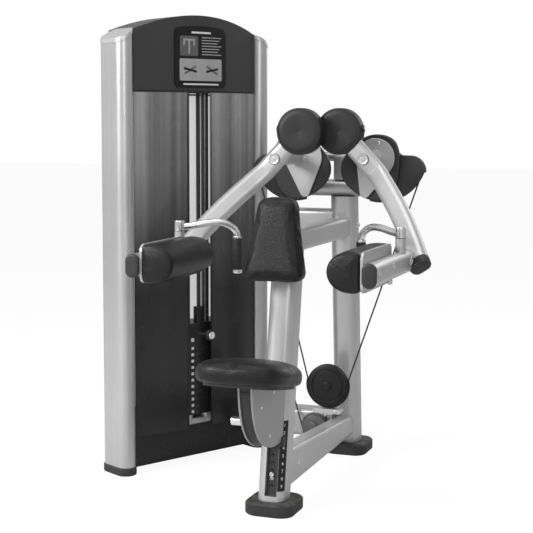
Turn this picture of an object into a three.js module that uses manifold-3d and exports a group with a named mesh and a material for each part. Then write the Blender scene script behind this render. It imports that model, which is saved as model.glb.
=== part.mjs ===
// Lateral raise machine with a weight tower, in millimetres.
// +Y is the way the user faces, +X is to the user's right and +Z is up.
import * as THREE from 'three';
import { mergeVertices } from 'three/addons/utils/BufferGeometryUtils.js';
import Module from 'manifold-3d';

const wasm = await Module();
wasm.setup();

// Shared clearances and counts.
const fit = 0.3;
const overrun = 20;
const weld = 0.001;
const cornerSteps = 4;
const roundSides = 32;
const cordSides = 8;
const handleSides = 12;
const rightAngle = Math.PI / 2;

// Frame tubes of the user station.
const postWidth = 95;
const postDepth = 110;
const postCorner = 35;
const footSize = 172;
const footCorner = 45;
const footHeight = 45;
const footEdge = 6;
const frontLean = 0.17;
const rearLean = -0.07;
const postSpacing = 858;
const frontPostTop = 945;
const rearPostTop = 1020;

// Beams between the posts and across to the tower.
const lowBeamWidth = 70;
const lowBeamCorner = 16;
const lowBeamFrontBottom = 67;
const lowBeamFrontTop = 199;
const lowBeamRearBottom = 78;
const lowBeamRearTop = 149;
const topBeamWidth = 66;
const topBeamCorner = 16;
const topBeamBottom = 862;
const topBeamTop = 940;
const crossAhead = 113;
const crossFrontY = postSpacing - crossAhead;
const lowCrossDepth = 90;
const lowCrossBottom = 70;
const lowCrossTop = 180;
const topCrossDepth = 76;
const topCrossBottom = 884;
const topCrossTop = 970;
const crossCorner = 20;

// Recess for the seat lock and the scale beside it.
const recessLeft = -14;
const recessRight = 20;
const recessDepth = 10;
const recessBottom = 66;
const recessTop = 320;
const scaleThickness = 2;
const scaleBottom = 80;
const scaleTop = 312;
const scaleStartAngle = 0.38;
const scaleEndAngle = 1.2;

// Pivots and the crossmember that carries them.
const pivotX = 159;
const pivotZ = 1172;
const saddleTop = 1084;
const saddleHalfLength = 170;
const saddleDepth = 92;
const barrelRadius = 42;
const barrelAhead = 26;
const barrelLength = 90;
const barrelRearY = postSpacing - barrelAhead;
const barrelFrontY = barrelRearY - barrelLength;
const webWidth = 44;
const webDepth = 66;
const shaftRadius = 16;
const shaftEndRadius = 25;
const shaftEndThickness = 8;
const hubRadius = 27;
const spacerRadius = 18;
const blockWidth = 66;
const blockDepth = 70;

// Swinging arms.
const armWidth = 74;
const armDepth = 52;
const armCorner = 24;
const armStagger = 65;
const armAhead = 370;
const armMeanY = postSpacing - armAhead;
const armStraight = 62;
const armEndX = 436;
const armEndY = 222;
const armEndZ = 838;
const armBow = 14;
const armStations = 7;
const armTail = 26;
const plugRadius = 20.5;
const plugThickness = 3;

// Counterweight discs.
const discRadius = 85;
const discThickness = 62;
const discEdge = 7;
const discInward = 94;
const discRise = 100;

// Cam plates and cable cams.
const camPlateAhead = 203;
const camPlateFrontY = postSpacing - camPlateAhead;
const camPlateThickness = 8;
const camPlateRadius = 74;
const camPlateTipRadius = 19;
const camPlateReach = 138;
const camPlateTilt = 0.3;
const leftPlateShift = 34;
const camCoverThickness = 24;
const camCoverRadius = 88;
const camCoverInner = 138;
const camCoverInnerDrop = 88;
const camCoverDrop = 160;
const camCoverOuter = 90;
const camFlangeThickness = 10;
const camGrooveThickness = 12;
const camRadius = 186;
const camGrooveDepth = 9;
const camLowRadius = 166;
const camLipRise = 9;
const camHubRadius = 40;
const camLowAngle = 1.75;
const camSteps = 14;

// Pad beams, pads and handles.
const beamX = 399;
const beamZ = 842;
const beamWidth = 45;
const beamHeight = 76;
const beamFrontY = -250;
const backingThickness = 8;
const backingHeight = 128;
const backingFrontY = -246;
const backingRearY = 92;
const backingCorner = 26;
const padThickness = 112;
const padHeight = 137;
const padFrontY = -254;
const padRearY = 132;
const padZ = 848;
const padEdge = 16;
const padFlatCorner = 14;
const padRingSteps = 18;
const padRoundShare = 0.8;
const sleeveY = 120;
const sleeveRadius = 17.5;
const sleeveHeight = 84;
const handleZ = 945;
const handleReach = 208;
const handleTurn = 0.61;
const handleRadius = 12.5;
const handleBend = 45;
const gripRadius = 17;
const gripLength = 112;
const gripTop = 896;
const gripEnd = 14;

// Chest pad.
const chestBottom = 776;
const chestTop = 1060;
const chestFrontY = -40;
const chestThickness = 72;
const chestBottomWidth = 228;
const chestTopWidth = 134;
const chestCorner = 30;
const chestCrown = 7;
const chestDrawIn = 8;
const chestPlateWidth = 90;
const chestPlateMargin = 60;

// Seat and its carriage.
const seatY = -232;
const seatWidth = 318;
const seatLength = 336;
const seatBottom = 482;
const seatThickness = 66;
const seatCrown = 16;
const seatDrawIn = 12;
const seatCorner = 105;
const seatSteps = 32;
const boardThickness = 13;
const boardMargin = 28;
const cheekX = 35;
const cheekLeftX = -2;
const cheekThickness = 6;
const cheekFrontY = -312;
const cheekRearY = -66;
const cheekBottom = 250;
const carriageBottom = 272;
const carriageTop = 426;
const carriageFrontY = -128;
const bandThickness = 9;
const leverY = -100;
const leverZ = 322;
const leverRadius = 14.5;
const leverLength = 105;
const leverArm = 30;
const leverPlate = 6;

// Hanging pulley, low pulley and cables.
const floatX = -26;
const floatAhead = 190;
const floatY = postSpacing - floatAhead;
const floatZ = 297;
const floatRadius = 82;
const floatGroove = 9;
const floatThickness = 30;
const floatAxle = 8;
const bracketWidth = 112;
const bracketPlate = 6;
const bracketDrop = 108;
const bracketBlock = 18;
const lowPulleyX = -95;
const lowPulleyAhead = 38;
const lowPulleyY = crossFrontY - lowPulleyAhead;
const lowPulleyZ = 128;
const lowPulleyRadius = 48;
const lowPulleyGroove = 6;
const lowPulleyThickness = 24;
const lowPulleyAxle = 7;
const cableRadius = 3;
const cableAnchor = -10;
const cableTopAngle = 0.02;
const cableLeaveAngle = 0.3;
const floatLeaveAngle = 0.28;
const lowLeaveAngle = 0.7;
const cableOverShare = 0.6;
const wrapSteps = 16;
const lowWrapSteps = 10;

// Weight tower.
const towerX = -551;
const towerAhead = 325;
const towerY = postSpacing - towerAhead;
const towerTurn = 1.0734;
const columnSpacing = 648;
const columnWidth = 70;
const columnDepth = 150;
const columnFoot = 30;
const columnFootMargin = 4;
const columnOuterTop = 1608;
const columnInnerTop = 1648;
const panelFront = 55;
const panelBow = 30;
const panelThickness = 4;
const panelStations = 6;
const panelTop = 1416;
const kickBottom = 18;
const kickTop = 138;
const kickFront = 34;
const slotCentre = -8;
const slotWidth = 106;
const headEndRise = 229;
const headBow = 59;
const headEnd = panelTop + headEndRise;
const headCrown = headEnd + headBow;
const headDepth = 158;
const headWall = 10;
const headStations = 14;
const placardWidth = 245;
const placardRise = 18;
const placardHeight = 230;
const placardBottom = panelTop + placardRise;
const placardTop = placardBottom + placardHeight;
const placardArch = 10;
const placardThickness = 3;
const placardCorner = 16;
const rearShroudDepth = 90;
const rearShroudWall = 3;
const rearShroudBottom = 60;
const rearNotchBottom = 200;
const rearNotchTop = 640;

// Weight stack inside the tower.
const stackCentre = 25;
const stackWidth = 300;
const stackFront = 44;
const stackDepth = 104;
const plateCount = 11;
const plateHeight = 24.7;
const plateGroove = 1.6;
const plateGrooveDepth = 5;
const stackBottom = 178;
const topPlateHeight = 84;
const stemWidth = 34;
const stemDepth = 22;
const stemHeight = 62;
const rodRadius = 15;
const rodSpacing = 92;
const rodForward = 14;
const baseBeamBottom = 62;
const baseBeamTop = 160;
const baseBeamFront = kickFront - fit;
const baseBeamRear = 36;
const bumperRadius = 24;
const railRise = 30;
const railHeight = 46;
const topBeamLow = panelTop + railRise;
const topBeamHigh = topBeamLow + railHeight;
const pinRadius = 5;
const pinKnobRadius = 21;
const pinKnobLength = 26;
const pinReach = 60;
const knobTipShare = 0.75;
const knobShoulderShare = 0.7;
const beltWidth = 22;
const beltThickness = 3;
const beltPulleyRadius = 38;
const beltPulleyWidth = 28;
const beltPulleyRise = 48;
const beltPulleyZ = topBeamHigh + beltPulleyRise;
const idlerAxle = 7.5;
const idlerHead = 12;
const idlerHeadThickness = 5;
const transferRadius = 42;
const transferWidth = 20;
const transferBeside = 39;
const transferU = stackCentre + stackWidth / 2 + transferBeside;
const transferZ = 470;
const transferRear = 104;

const silver = { color: 0xb8babc, roughness: 0.32, metalness: 0.85 };
const chrome = { color: 0xe2e3e4, roughness: 0.12, metalness: 1 };
const charcoal = { color: 0x3a3b3d, roughness: 0.45, metalness: 0.1 };
const smoky = { color: 0x55565a, roughness: 0.18, metalness: 0.2 };
const nearBlack = { color: 0x17181a, roughness: 0.3, metalness: 0 };
const rubber = { color: 0x242527, roughness: 0.65, metalness: 0 };
const vinyl = { color: 0x1d1d1f, roughness: 0.55, metalness: 0 };
const iron = { color: 0x1b1c1e, roughness: 0.5, metalness: 0.4 };

// Solids, lofts and sweeps.
function solid(geometry) {
  const bare = geometry.clone();
  bare.deleteAttribute('normal');
  bare.deleteAttribute('uv');
  const merged = mergeVertices(bare, weld);
  const vertProperties = new Float32Array(merged.attributes.position.array);
  const triVerts = new Uint32Array(merged.index.array);
  return new wasm.Manifold(new wasm.Mesh({ numProp: 3, vertProperties, triVerts }));
}

function geometryOf(body) {
  const mesh = body.getMesh();
  const geometry = new THREE.BufferGeometry();
  geometry.setAttribute('position', new THREE.BufferAttribute(mesh.vertProperties, 3));
  geometry.setIndex(new THREE.BufferAttribute(mesh.triVerts, 1));
  return geometry;
}

function join(...geometries) {
  let body = solid(geometries[0]);
  for (const geometry of geometries.slice(1)) {
    body = body.add(solid(geometry));
  }
  return geometryOf(body);
}

function cut(geometry, ...tools) {
  let body = solid(geometry);
  for (const tool of tools) {
    body = body.subtract(solid(tool));
  }
  return geometryOf(body);
}

function signedVolume(points, index) {
  let volume = 0;
  for (let i = 0; i < index.length; i += 3) {
    const [a, b, c] = [points[index[i]], points[index[i + 1]], points[index[i + 2]]];
    volume += a.dot(new THREE.Vector3().crossVectors(b, c));
  }
  return volume;
}

// A closed skin through rings of equally many points, with flat ends of convex outline.
function loft(rings) {
  const count = rings[0].length;
  const points = rings.flat();
  const index = [];
  for (let ring = 0; ring + 1 < rings.length; ring += 1) {
    for (let i = 0; i < count; i += 1) {
      const here = ring * count + i;
      const next = ring * count + ((i + 1) % count);
      index.push(here, next, next + count, here, next + count, here + count);
    }
  }
  const last = (rings.length - 1) * count;
  for (let i = 1; i + 1 < count; i += 1) {
    index.push(0, i + 1, i, last, last + i, last + i + 1);
  }
  if (signedVolume(points, index) < 0) {
    index.reverse();
  }
  const geometry = new THREE.BufferGeometry().setFromPoints(points);
  geometry.setIndex(index);
  return geometry;
}

// The outline of a rounded rectangle round the origin, as [x, y] pairs.
function roundedOutline(width, depth, corner) {
  const radius = Math.min(corner, width / 2, depth / 2);
  const outline = [];
  for (let quarter = 0; quarter < 4; quarter += 1) {
    const x = (width / 2 - radius) * (quarter === 0 || quarter === 3 ? 1 : -1);
    const y = (depth / 2 - radius) * (quarter < 2 ? 1 : -1);
    for (let step = 0; step <= cornerSteps; step += 1) {
      const angle = (quarter + step / cornerSteps) * rightAngle;
      outline.push([x + radius * Math.cos(angle), y + radius * Math.sin(angle)]);
    }
  }
  return outline;
}

// An outline laid across one axis, at a place along it.
function ringAcross(axis, outline, along, a = 0, b = 0) {
  return outline.map(([p, q]) => {
    if (axis === 'x') {
      return new THREE.Vector3(along, a + p, b + q);
    }
    if (axis === 'y') {
      return new THREE.Vector3(a + p, along, b + q);
    }
    return new THREE.Vector3(a + p, b + q, along);
  });
}

// A rounded bar along an axis, with its end edges taken off by the given amount.
function bar(axis, width, depth, corner, from, to, a = 0, b = 0, edge = 0) {
  const outer = roundedOutline(width, depth, corner);
  if (edge === 0) {
    return loft([ringAcross(axis, outer, from, a, b), ringAcross(axis, outer, to, a, b)]);
  }
  const inner = roundedOutline(width - 2 * edge, depth - 2 * edge, corner - edge / 2);
  return loft([
    ringAcross(axis, inner, from, a, b),
    ringAcross(axis, outer, from + edge, a, b),
    ringAcross(axis, outer, to - edge, a, b),
    ringAcross(axis, inner, to, a, b),
  ]);
}

function block(x0, x1, y0, y1, z0, z1) {
  const geometry = new THREE.BoxGeometry(x1 - x0, y1 - y0, z1 - z0);
  return geometry.translate((x0 + x1) / 2, (y0 + y1) / 2, (z0 + z1) / 2);
}

// A turned piece along Y from pairs of [radius, y], starting and ending on its axis.
function turned(profile, x, z, sides = roundSides) {
  const points = profile.map(([radius, y]) => new THREE.Vector2(radius, y));
  return new THREE.LatheGeometry(points, sides).translate(x, 0, z);
}

function rodY(radius, y0, y1, x, z, sides = roundSides) {
  return turned([[0, y0], [radius, y0], [radius, y1], [0, y1]], x, z, sides);
}

function rodZ(radius, z0, z1, x, y, sides = roundSides) {
  const geometry = new THREE.CylinderGeometry(radius, radius, z1 - z0, sides);
  return geometry.rotateX(rightAngle).translate(x, y, (z0 + z1) / 2);
}

function rodX(radius, x0, x1, y, z, sides = roundSides) {
  const geometry = new THREE.CylinderGeometry(radius, radius, x1 - x0, sides);
  return geometry.rotateZ(rightAngle).translate((x0 + x1) / 2, y, z);
}

// A flat plate facing -Y, drawn in X and Z round a pivot.
function plateY(shape, thickness, frontY, x, z) {
  const geometry = new THREE.ExtrudeGeometry(shape, {
    depth: thickness,
    bevelEnabled: false,
    curveSegments: cornerSteps * 2,
  });
  return geometry.rotateX(rightAngle).translate(x, frontY + thickness, z);
}

// A flat plate facing +X, drawn in Y and Z.
function plateX(shape, thickness, x) {
  const geometry = new THREE.ExtrudeGeometry(shape, {
    depth: thickness,
    bevelEnabled: false,
    curveSegments: cornerSteps * 2,
  });
  return geometry.rotateY(rightAngle).rotateX(rightAngle).translate(x, 0, 0);
}

// An outline swept through stations, kept square to the path with its depth near Y.
function sweep(outline, stations) {
  const rings = stations.map((station, i) => {
    const before = stations[Math.max(i - 1, 0)];
    const after = stations[Math.min(i + 1, stations.length - 1)];
    const along = new THREE.Vector3().subVectors(after, before).normalize();
    const deep = new THREE.Vector3(0, 1, 0).addScaledVector(along, -along.y).normalize();
    const wide = new THREE.Vector3().crossVectors(deep, along);
    return outline.map(([p, q]) => station.clone().addScaledVector(wide, p).addScaledVector(deep, q));
  });
  return loft(rings);
}

// A round tube through points, with closed ends.
function roundTube(points, radius, sides) {
  let side = new THREE.Vector3(0, 1, 0);
  const rings = points.map((point, i) => {
    const before = points[Math.max(i - 1, 0)];
    const after = points[Math.min(i + 1, points.length - 1)];
    const along = new THREE.Vector3().subVectors(after, before).normalize();
    side = side.clone().addScaledVector(along, -side.dot(along)).normalize();
    const other = new THREE.Vector3().crossVectors(along, side);
    const ring = [];
    for (let k = 0; k < sides; k += 1) {
      const angle = (2 * Math.PI * k) / sides;
      ring.push(point.clone()
        .addScaledVector(side, radius * Math.cos(angle))
        .addScaledVector(other, radius * Math.sin(angle)));
    }
    return ring;
  });
  return loft(rings);
}

const machine = new THREE.Group();
const station = new THREE.Group();
const tower = new THREE.Group();
tower.position.set(towerX, towerY, 0);
tower.rotation.z = towerTurn;
tower.updateMatrix();
machine.add(station, tower);

function piece(parent, name, geometry, look) {
  const flat = geometry.index ? geometry.toNonIndexed() : geometry;
  flat.deleteAttribute('normal');
  flat.deleteAttribute('uv');
  const merged = mergeVertices(flat, weld);
  merged.computeVertexNormals();
  const mesh = new THREE.Mesh(merged, new THREE.MeshStandardMaterial(look));
  mesh.name = name;
  parent.add(mesh);
}

// Posts lean along Y, so a height gives the middle of the tube.
function frontY(z) {
  return frontLean * (z - footHeight);
}

function rearY(z) {
  return postSpacing + rearLean * (z - footHeight);
}

function leaningPost(middle, from, to, grow) {
  const outline = roundedOutline(postWidth + 2 * grow, postDepth + 2 * grow, postCorner + grow);
  return loft([from, to].map((z) => ringAcross('z', outline, z, 0, middle(z))));
}

function leaningBlock(x0, x1, back0, back1, from, to) {
  const outline = [[x0, back0], [x1, back0], [x1, back1], [x0, back1]];
  return loft([from, to].map((z) => ringAcross('z', outline, z, 0, frontY(z))));
}

// The raised strip of the seat scale, wrapped round the post's front right corner.
function scaleStrip() {
  const outer = postCorner + scaleThickness;
  const inner = postCorner - scaleThickness;
  const mark = new THREE.Shape();
  mark.absarc(0, 0, outer, -rightAngle + scaleStartAngle, -rightAngle + scaleEndAngle, false);
  mark.absarc(0, 0, inner, -rightAngle + scaleEndAngle, -rightAngle + scaleStartAngle, true);
  mark.closePath();
  const strip = new THREE.ExtrudeGeometry(mark, {
    depth: scaleTop - scaleBottom,
    bevelEnabled: false,
    curveSegments: cornerSteps * 2,
  });
  strip.translate(postWidth / 2 - postCorner, postCorner - postDepth / 2, scaleBottom);
  const lean = new THREE.Matrix4().makeShear(0, 0, 0, 0, 0, frontLean);
  return strip.applyMatrix4(lean.setPosition(0, -frontLean * footHeight, 0));
}

// The low pulley's pin stands out of the low cross beam, with a head that keeps the pulley on.
function lowPulleyPin() {
  const half = lowPulleyThickness / 2;
  return turned([
    [0, lowPulleyY - half - fit - lowPulleyAxle],
    [lowPulleyAxle * 2, lowPulleyY - half - fit - lowPulleyAxle],
    [lowPulleyAxle * 2, lowPulleyY - half - fit],
    [lowPulleyAxle, lowPulleyY - half - fit],
    [lowPulleyAxle, lowPulleyY + half + fit],
    [lowPulleyAxle * 2, lowPulleyY + half + fit],
    [lowPulleyAxle * 2, crossFrontY + overrun],
    [0, crossFrontY + overrun],
  ], lowPulleyX, lowPulleyZ);
}

// The user station's frame.
function buildFrame() {
  const grownFront = leaningPost(frontY, 0, frontPostTop + overrun, fit);
  const grownRear = leaningPost(rearY, 0, rearPostTop + overrun, fit);
  const chestPlateFront = chestFrontY + chestThickness + fit;
  for (const [name, middle] of [['front_foot', 0], ['rear_foot', postSpacing]]) {
    const foot = bar('z', footSize, footSize, footCorner, 0, footHeight, 0, middle, footEdge);
    piece(station, name, foot, rubber);
  }

  const recess = leaningBlock(
    recessLeft,
    recessRight,
    -postDepth / 2 - overrun,
    -postDepth / 2 + recessDepth,
    recessBottom,
    recessTop,
  );
  const post = cut(leaningPost(frontY, footHeight + fit, frontPostTop, 0), recess);
  const plateFrom = chestBottom + chestPlateMargin;
  const plateTo = frontPostTop - fit;
  const chestPlate = loft([plateFrom, plateTo].map((z) => {
    const front = chestPlateFront + frontLean * (z - chestBottom);
    return [
      new THREE.Vector3(-chestPlateWidth / 2, front, z),
      new THREE.Vector3(chestPlateWidth / 2, front, z),
      new THREE.Vector3(chestPlateWidth / 2, frontY(z), z),
      new THREE.Vector3(-chestPlateWidth / 2, frontY(z), z),
    ];
  }));
  piece(station, 'front_post', join(post, chestPlate, scaleStrip()), silver);
  piece(station, 'rear_post', leaningPost(rearY, footHeight + fit, rearPostTop, 0), silver);

  const lowFront = frontY(lowBeamFrontTop);
  const lowRear = rearY(lowBeamRearTop);
  const lowBeam = loft([
    [lowFront, lowBeamFrontBottom, lowBeamFrontTop],
    [lowRear, lowBeamRearBottom, lowBeamRearTop],
  ].map(([y, bottom, top]) => (
    ringAcross('y', roundedOutline(lowBeamWidth, top - bottom, lowBeamCorner), y, 0, (bottom + top) / 2)
  )));
  piece(station, 'low_beam', cut(lowBeam, grownFront, grownRear), silver);

  const topMiddle = (topBeamBottom + topBeamTop) / 2;
  const topBeam = bar(
    'y',
    topBeamWidth,
    topBeamTop - topBeamBottom,
    topBeamCorner,
    frontY(topMiddle),
    rearY(topMiddle),
    0,
    topMiddle,
  );
  piece(station, 'top_beam', cut(topBeam, grownFront, grownRear), silver);

  const column = columnBody(1, fit).applyMatrix4(tower.matrix);
  const columnMiddle = towerX + (columnSpacing / 2) * Math.cos(towerTurn);
  const reach = columnSpacing / 2;
  const past = block(-2 * reach, reach, -2 * reach, 2 * reach, 0, columnInnerTop);
  past.applyMatrix4(tower.matrix);
  for (const [name, depth, bottom, top] of [
    ['low_cross_beam', lowCrossDepth, lowCrossBottom, lowCrossTop],
    ['top_cross_beam', topCrossDepth, topCrossBottom, topCrossTop],
  ]) {
    const y = crossFrontY + depth / 2;
    const z = (bottom + top) / 2;
    const beside = block(-lowBeamWidth / 2 - fit, overrun, 0, postSpacing, 0, topCrossTop + overrun);
    let beam = cut(
      bar('x', depth, top - bottom, crossCorner, columnMiddle, 0, y, z),
      column,
      past,
      grownRear,
      beside,
    );
    if (name === 'low_cross_beam') {
      beam = join(beam, lowPulleyPin());
    }
    piece(station, name, beam, silver);
  }
}

// The crossmember on the rear post, with a barrel for each arm's shaft.
function buildCrossmember() {
  const middle = (barrelFrontY + barrelRearY) / 2;
  const saddleBottom = rearPostTop + fit;
  const saddleZ = (saddleBottom + saddleTop) / 2;
  const height = saddleTop - saddleBottom;
  const length = saddleHalfLength;
  let body = solid(bar('x', saddleDepth, height, height / 2, -length, length, middle, saddleZ));
  for (const side of [-1, 1]) {
    const x = side * pivotX;
    body = body.add(solid(rodY(barrelRadius, barrelFrontY, barrelRearY, x, pivotZ)));
    body = body.add(solid(block(
      x - webWidth / 2,
      x + webWidth / 2,
      middle - webDepth / 2,
      middle + webDepth / 2,
      saddleZ,
      pivotZ,
    )));
    const bore = rodY(shaftRadius + fit, barrelFrontY - overrun, barrelRearY + overrun, x, pivotZ);
    body = body.subtract(solid(bore));
  }
  piece(station, 'pivot_crossmember', geometryOf(body), silver);

  const reach = pivotX - barrelRadius - fit;
  const spacer = rodX(spacerRadius, -reach, reach, middle, pivotZ);
  const rest = block(
    -blockWidth / 2,
    blockWidth / 2,
    middle - blockDepth / 2,
    middle + blockDepth / 2,
    saddleTop + fit,
    pivotZ,
  );
  piece(station, 'post_top_block', join(spacer, rest), iron);
}

// Both arms are alike but for the stagger that lets their discs pass each other.
function armPath(side) {
  const y = armMeanY + (side * armStagger) / 2;
  const pivot = new THREE.Vector3(side * pivotX, y, pivotZ);
  const end = new THREE.Vector3(side * armEndX, armEndY, armEndZ);
  const top = new THREE.Vector3(side * (pivotX - discInward), y, pivotZ + discRise);
  const down = new THREE.Vector3().subVectors(pivot, top).normalize();
  const knee = pivot.clone().addScaledVector(down, armStraight);
  const path = [top, pivot.clone().addScaledVector(down, -armStraight / 2), knee];
  for (let i = 1; i <= armStations; i += 1) {
    const share = i / armStations;
    const point = knee.clone().lerp(end, share);
    point.x += side * armBow * Math.sin(Math.PI * share);
    path.push(point);
  }
  const last = path[path.length - 1].clone().sub(path[path.length - 2]).normalize();
  path.push(path[path.length - 1].clone().addScaledVector(last, armTail));
  return path;
}

function armBody(side, grow) {
  const outline = roundedOutline(armWidth + 2 * grow, armDepth + 2 * grow, armCorner + grow);
  return sweep(outline, armPath(side));
}

function discProfile(side, grow) {
  const front = armMeanY + (side * armStagger) / 2 - discThickness / 2 - grow;
  const rear = front + discThickness + 2 * grow;
  const radius = discRadius + grow;
  return [
    [0, front],
    [radius - discEdge, front],
    [radius, front + discEdge],
    [radius, rear - discEdge],
    [radius - discEdge, rear],
    [0, rear],
  ];
}

function hullOfCircles(x0, z0, r0, x1, z1, r1) {
  const angle = Math.atan2(z1 - z0, x1 - x0);
  const lean = Math.acos((r0 - r1) / Math.hypot(x1 - x0, z1 - z0));
  const shape = new THREE.Shape();
  shape.absarc(x0, z0, r0, angle + lean, angle - lean + 2 * Math.PI, false);
  shape.absarc(x1, z1, r1, angle - lean, angle + lean, false);
  shape.closePath();
  return shape;
}

function teardrop(side) {
  const tilt = camPlateTilt * side;
  const shift = side < 0 ? leftPlateShift : 0;
  const tipX = -Math.sin(tilt) * camPlateReach;
  const tipZ = -Math.cos(tilt) * camPlateReach;
  return hullOfCircles(shift, 0, camPlateRadius, tipX, tipZ, camPlateTipRadius);
}

function coverShape(side) {
  const corners = [
    [-side * camCoverInner, -camCoverInnerDrop],
    [-side * camCoverOuter / 2, -camCoverDrop],
    [side * camCoverOuter / 2, -camCoverDrop],
    [side * camCoverOuter, -camCoverInnerDrop],
    [side * camCoverOuter, camCoverRadius / 2],
    [side * camCoverOuter / 2, camCoverRadius],
    [-side * camCoverOuter / 2, camCoverRadius],
    [-side * camCoverInner, 0],
  ];
  return new THREE.Shape(corners.map(([x, z]) => new THREE.Vector2(x, z)));
}

// The cable cam's rim shrinks from its lip down to its lowest angle.
const camLipAngle = Math.asin(camLipRise / camRadius);

function camRim(angle, drop) {
  const share = (camLipAngle - angle) / (camLipAngle + camLowAngle);
  return camRadius - drop - share * (camRadius - camLowRadius);
}

function camShape(side, drop) {
  const shape = new THREE.Shape();
  shape.moveTo(0, camHubRadius);
  shape.lineTo(side * camCoverOuter / 2, camHubRadius);
  shape.lineTo(side * camCoverOuter, camLipRise);
  for (let i = 0; i <= camSteps; i += 1) {
    const angle = camLipAngle - (i / camSteps) * (camLipAngle + camLowAngle);
    const radius = camRim(angle, drop);
    shape.lineTo(side * radius * Math.cos(angle), radius * Math.sin(angle));
  }
  shape.lineTo(-side * camHubRadius, 0);
  shape.closePath();
  return shape;
}

const camCoverFrontY = camPlateFrontY + camPlateThickness + fit;
const camFrontY = camCoverFrontY + camCoverThickness;
const camRearY = camFrontY + 2 * camFlangeThickness + camGrooveThickness;
const grooveY = camFrontY + camFlangeThickness + camGrooveThickness / 2;

function buildArm(side, label) {
  const x = side * pivotX;
  const y = armMeanY + (side * armStagger) / 2;
  const disc = turned(discProfile(side, 0), side * (pivotX - discInward), pivotZ + discRise);
  const discSpace = turned(discProfile(side, fit), side * (pivotX - discInward), pivotZ + discRise);
  piece(station, `counterweight_${label}`, disc, rubber);

  const face = y - armDepth / 2;
  const plug = rodY(plugRadius, face - plugThickness, face + plugThickness, x, pivotZ);
  piece(station, `arm_${label}`, cut(join(armBody(side, 0), plug), discSpace), silver);

  const hubFront = y + armDepth / 2 + fit;
  const shaft = turned([
    [0, hubFront],
    [hubRadius, hubFront],
    [hubRadius, camPlateFrontY + camPlateThickness / 2],
    [shaftRadius, camPlateFrontY + camPlateThickness / 2],
    [shaftRadius, barrelRearY + fit],
    [shaftEndRadius, barrelRearY + fit],
    [shaftEndRadius, barrelRearY + fit + shaftEndThickness],
    [0, barrelRearY + fit + shaftEndThickness],
  ], x, pivotZ);
  const plate = plateY(teardrop(side), camPlateThickness, camPlateFrontY, x, pivotZ);
  piece(station, `cam_plate_${label}`, join(shaft, plate), silver);

  const bore = rodY(shaftRadius + fit, camCoverFrontY - overrun, camRearY + overrun, x, pivotZ);
  const flange = camShape(side, 0);
  const groove = camShape(side, camGrooveDepth);
  const grooveFront = camFrontY + camFlangeThickness;
  const layers = [
    plateY(coverShape(side), camCoverThickness + weld, camCoverFrontY, x, pivotZ),
    plateY(flange, camFlangeThickness + weld, camFrontY, x, pivotZ),
    plateY(groove, camGrooveThickness + 2 * weld, grooveFront, x, pivotZ),
    plateY(flange, camFlangeThickness, camRearY - camFlangeThickness, x, pivotZ),
  ];
  piece(station, `cable_cam_${label}`, cut(join(...layers), bore), nearBlack);
}

// The pad side of an arm: beam with its backing plate, pad and swivelling handle.
function padRing(y, inset, side) {
  const flat = side * (beamX - beamWidth / 2 - backingThickness - fit);
  const half = padHeight / 2 - inset;
  const deep = padThickness - inset;
  const ring = [];
  for (let i = 0; i <= padRingSteps; i += 1) {
    const angle = -rightAngle + (Math.PI * i) / padRingSteps;
    const round = padFlatCorner + (deep - padFlatCorner) * Math.cos(angle) ** padRoundShare;
    ring.push([flat - side * round, padZ + half * Math.sin(angle)]);
  }
  const back = flat - (side * Math.max(inset, 0)) / 4;
  ring.push([back, padZ + half - padFlatCorner]);
  ring.push([back, padZ - half + padFlatCorner]);
  return ring.map(([x, z]) => new THREE.Vector3(x, y, z));
}

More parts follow.
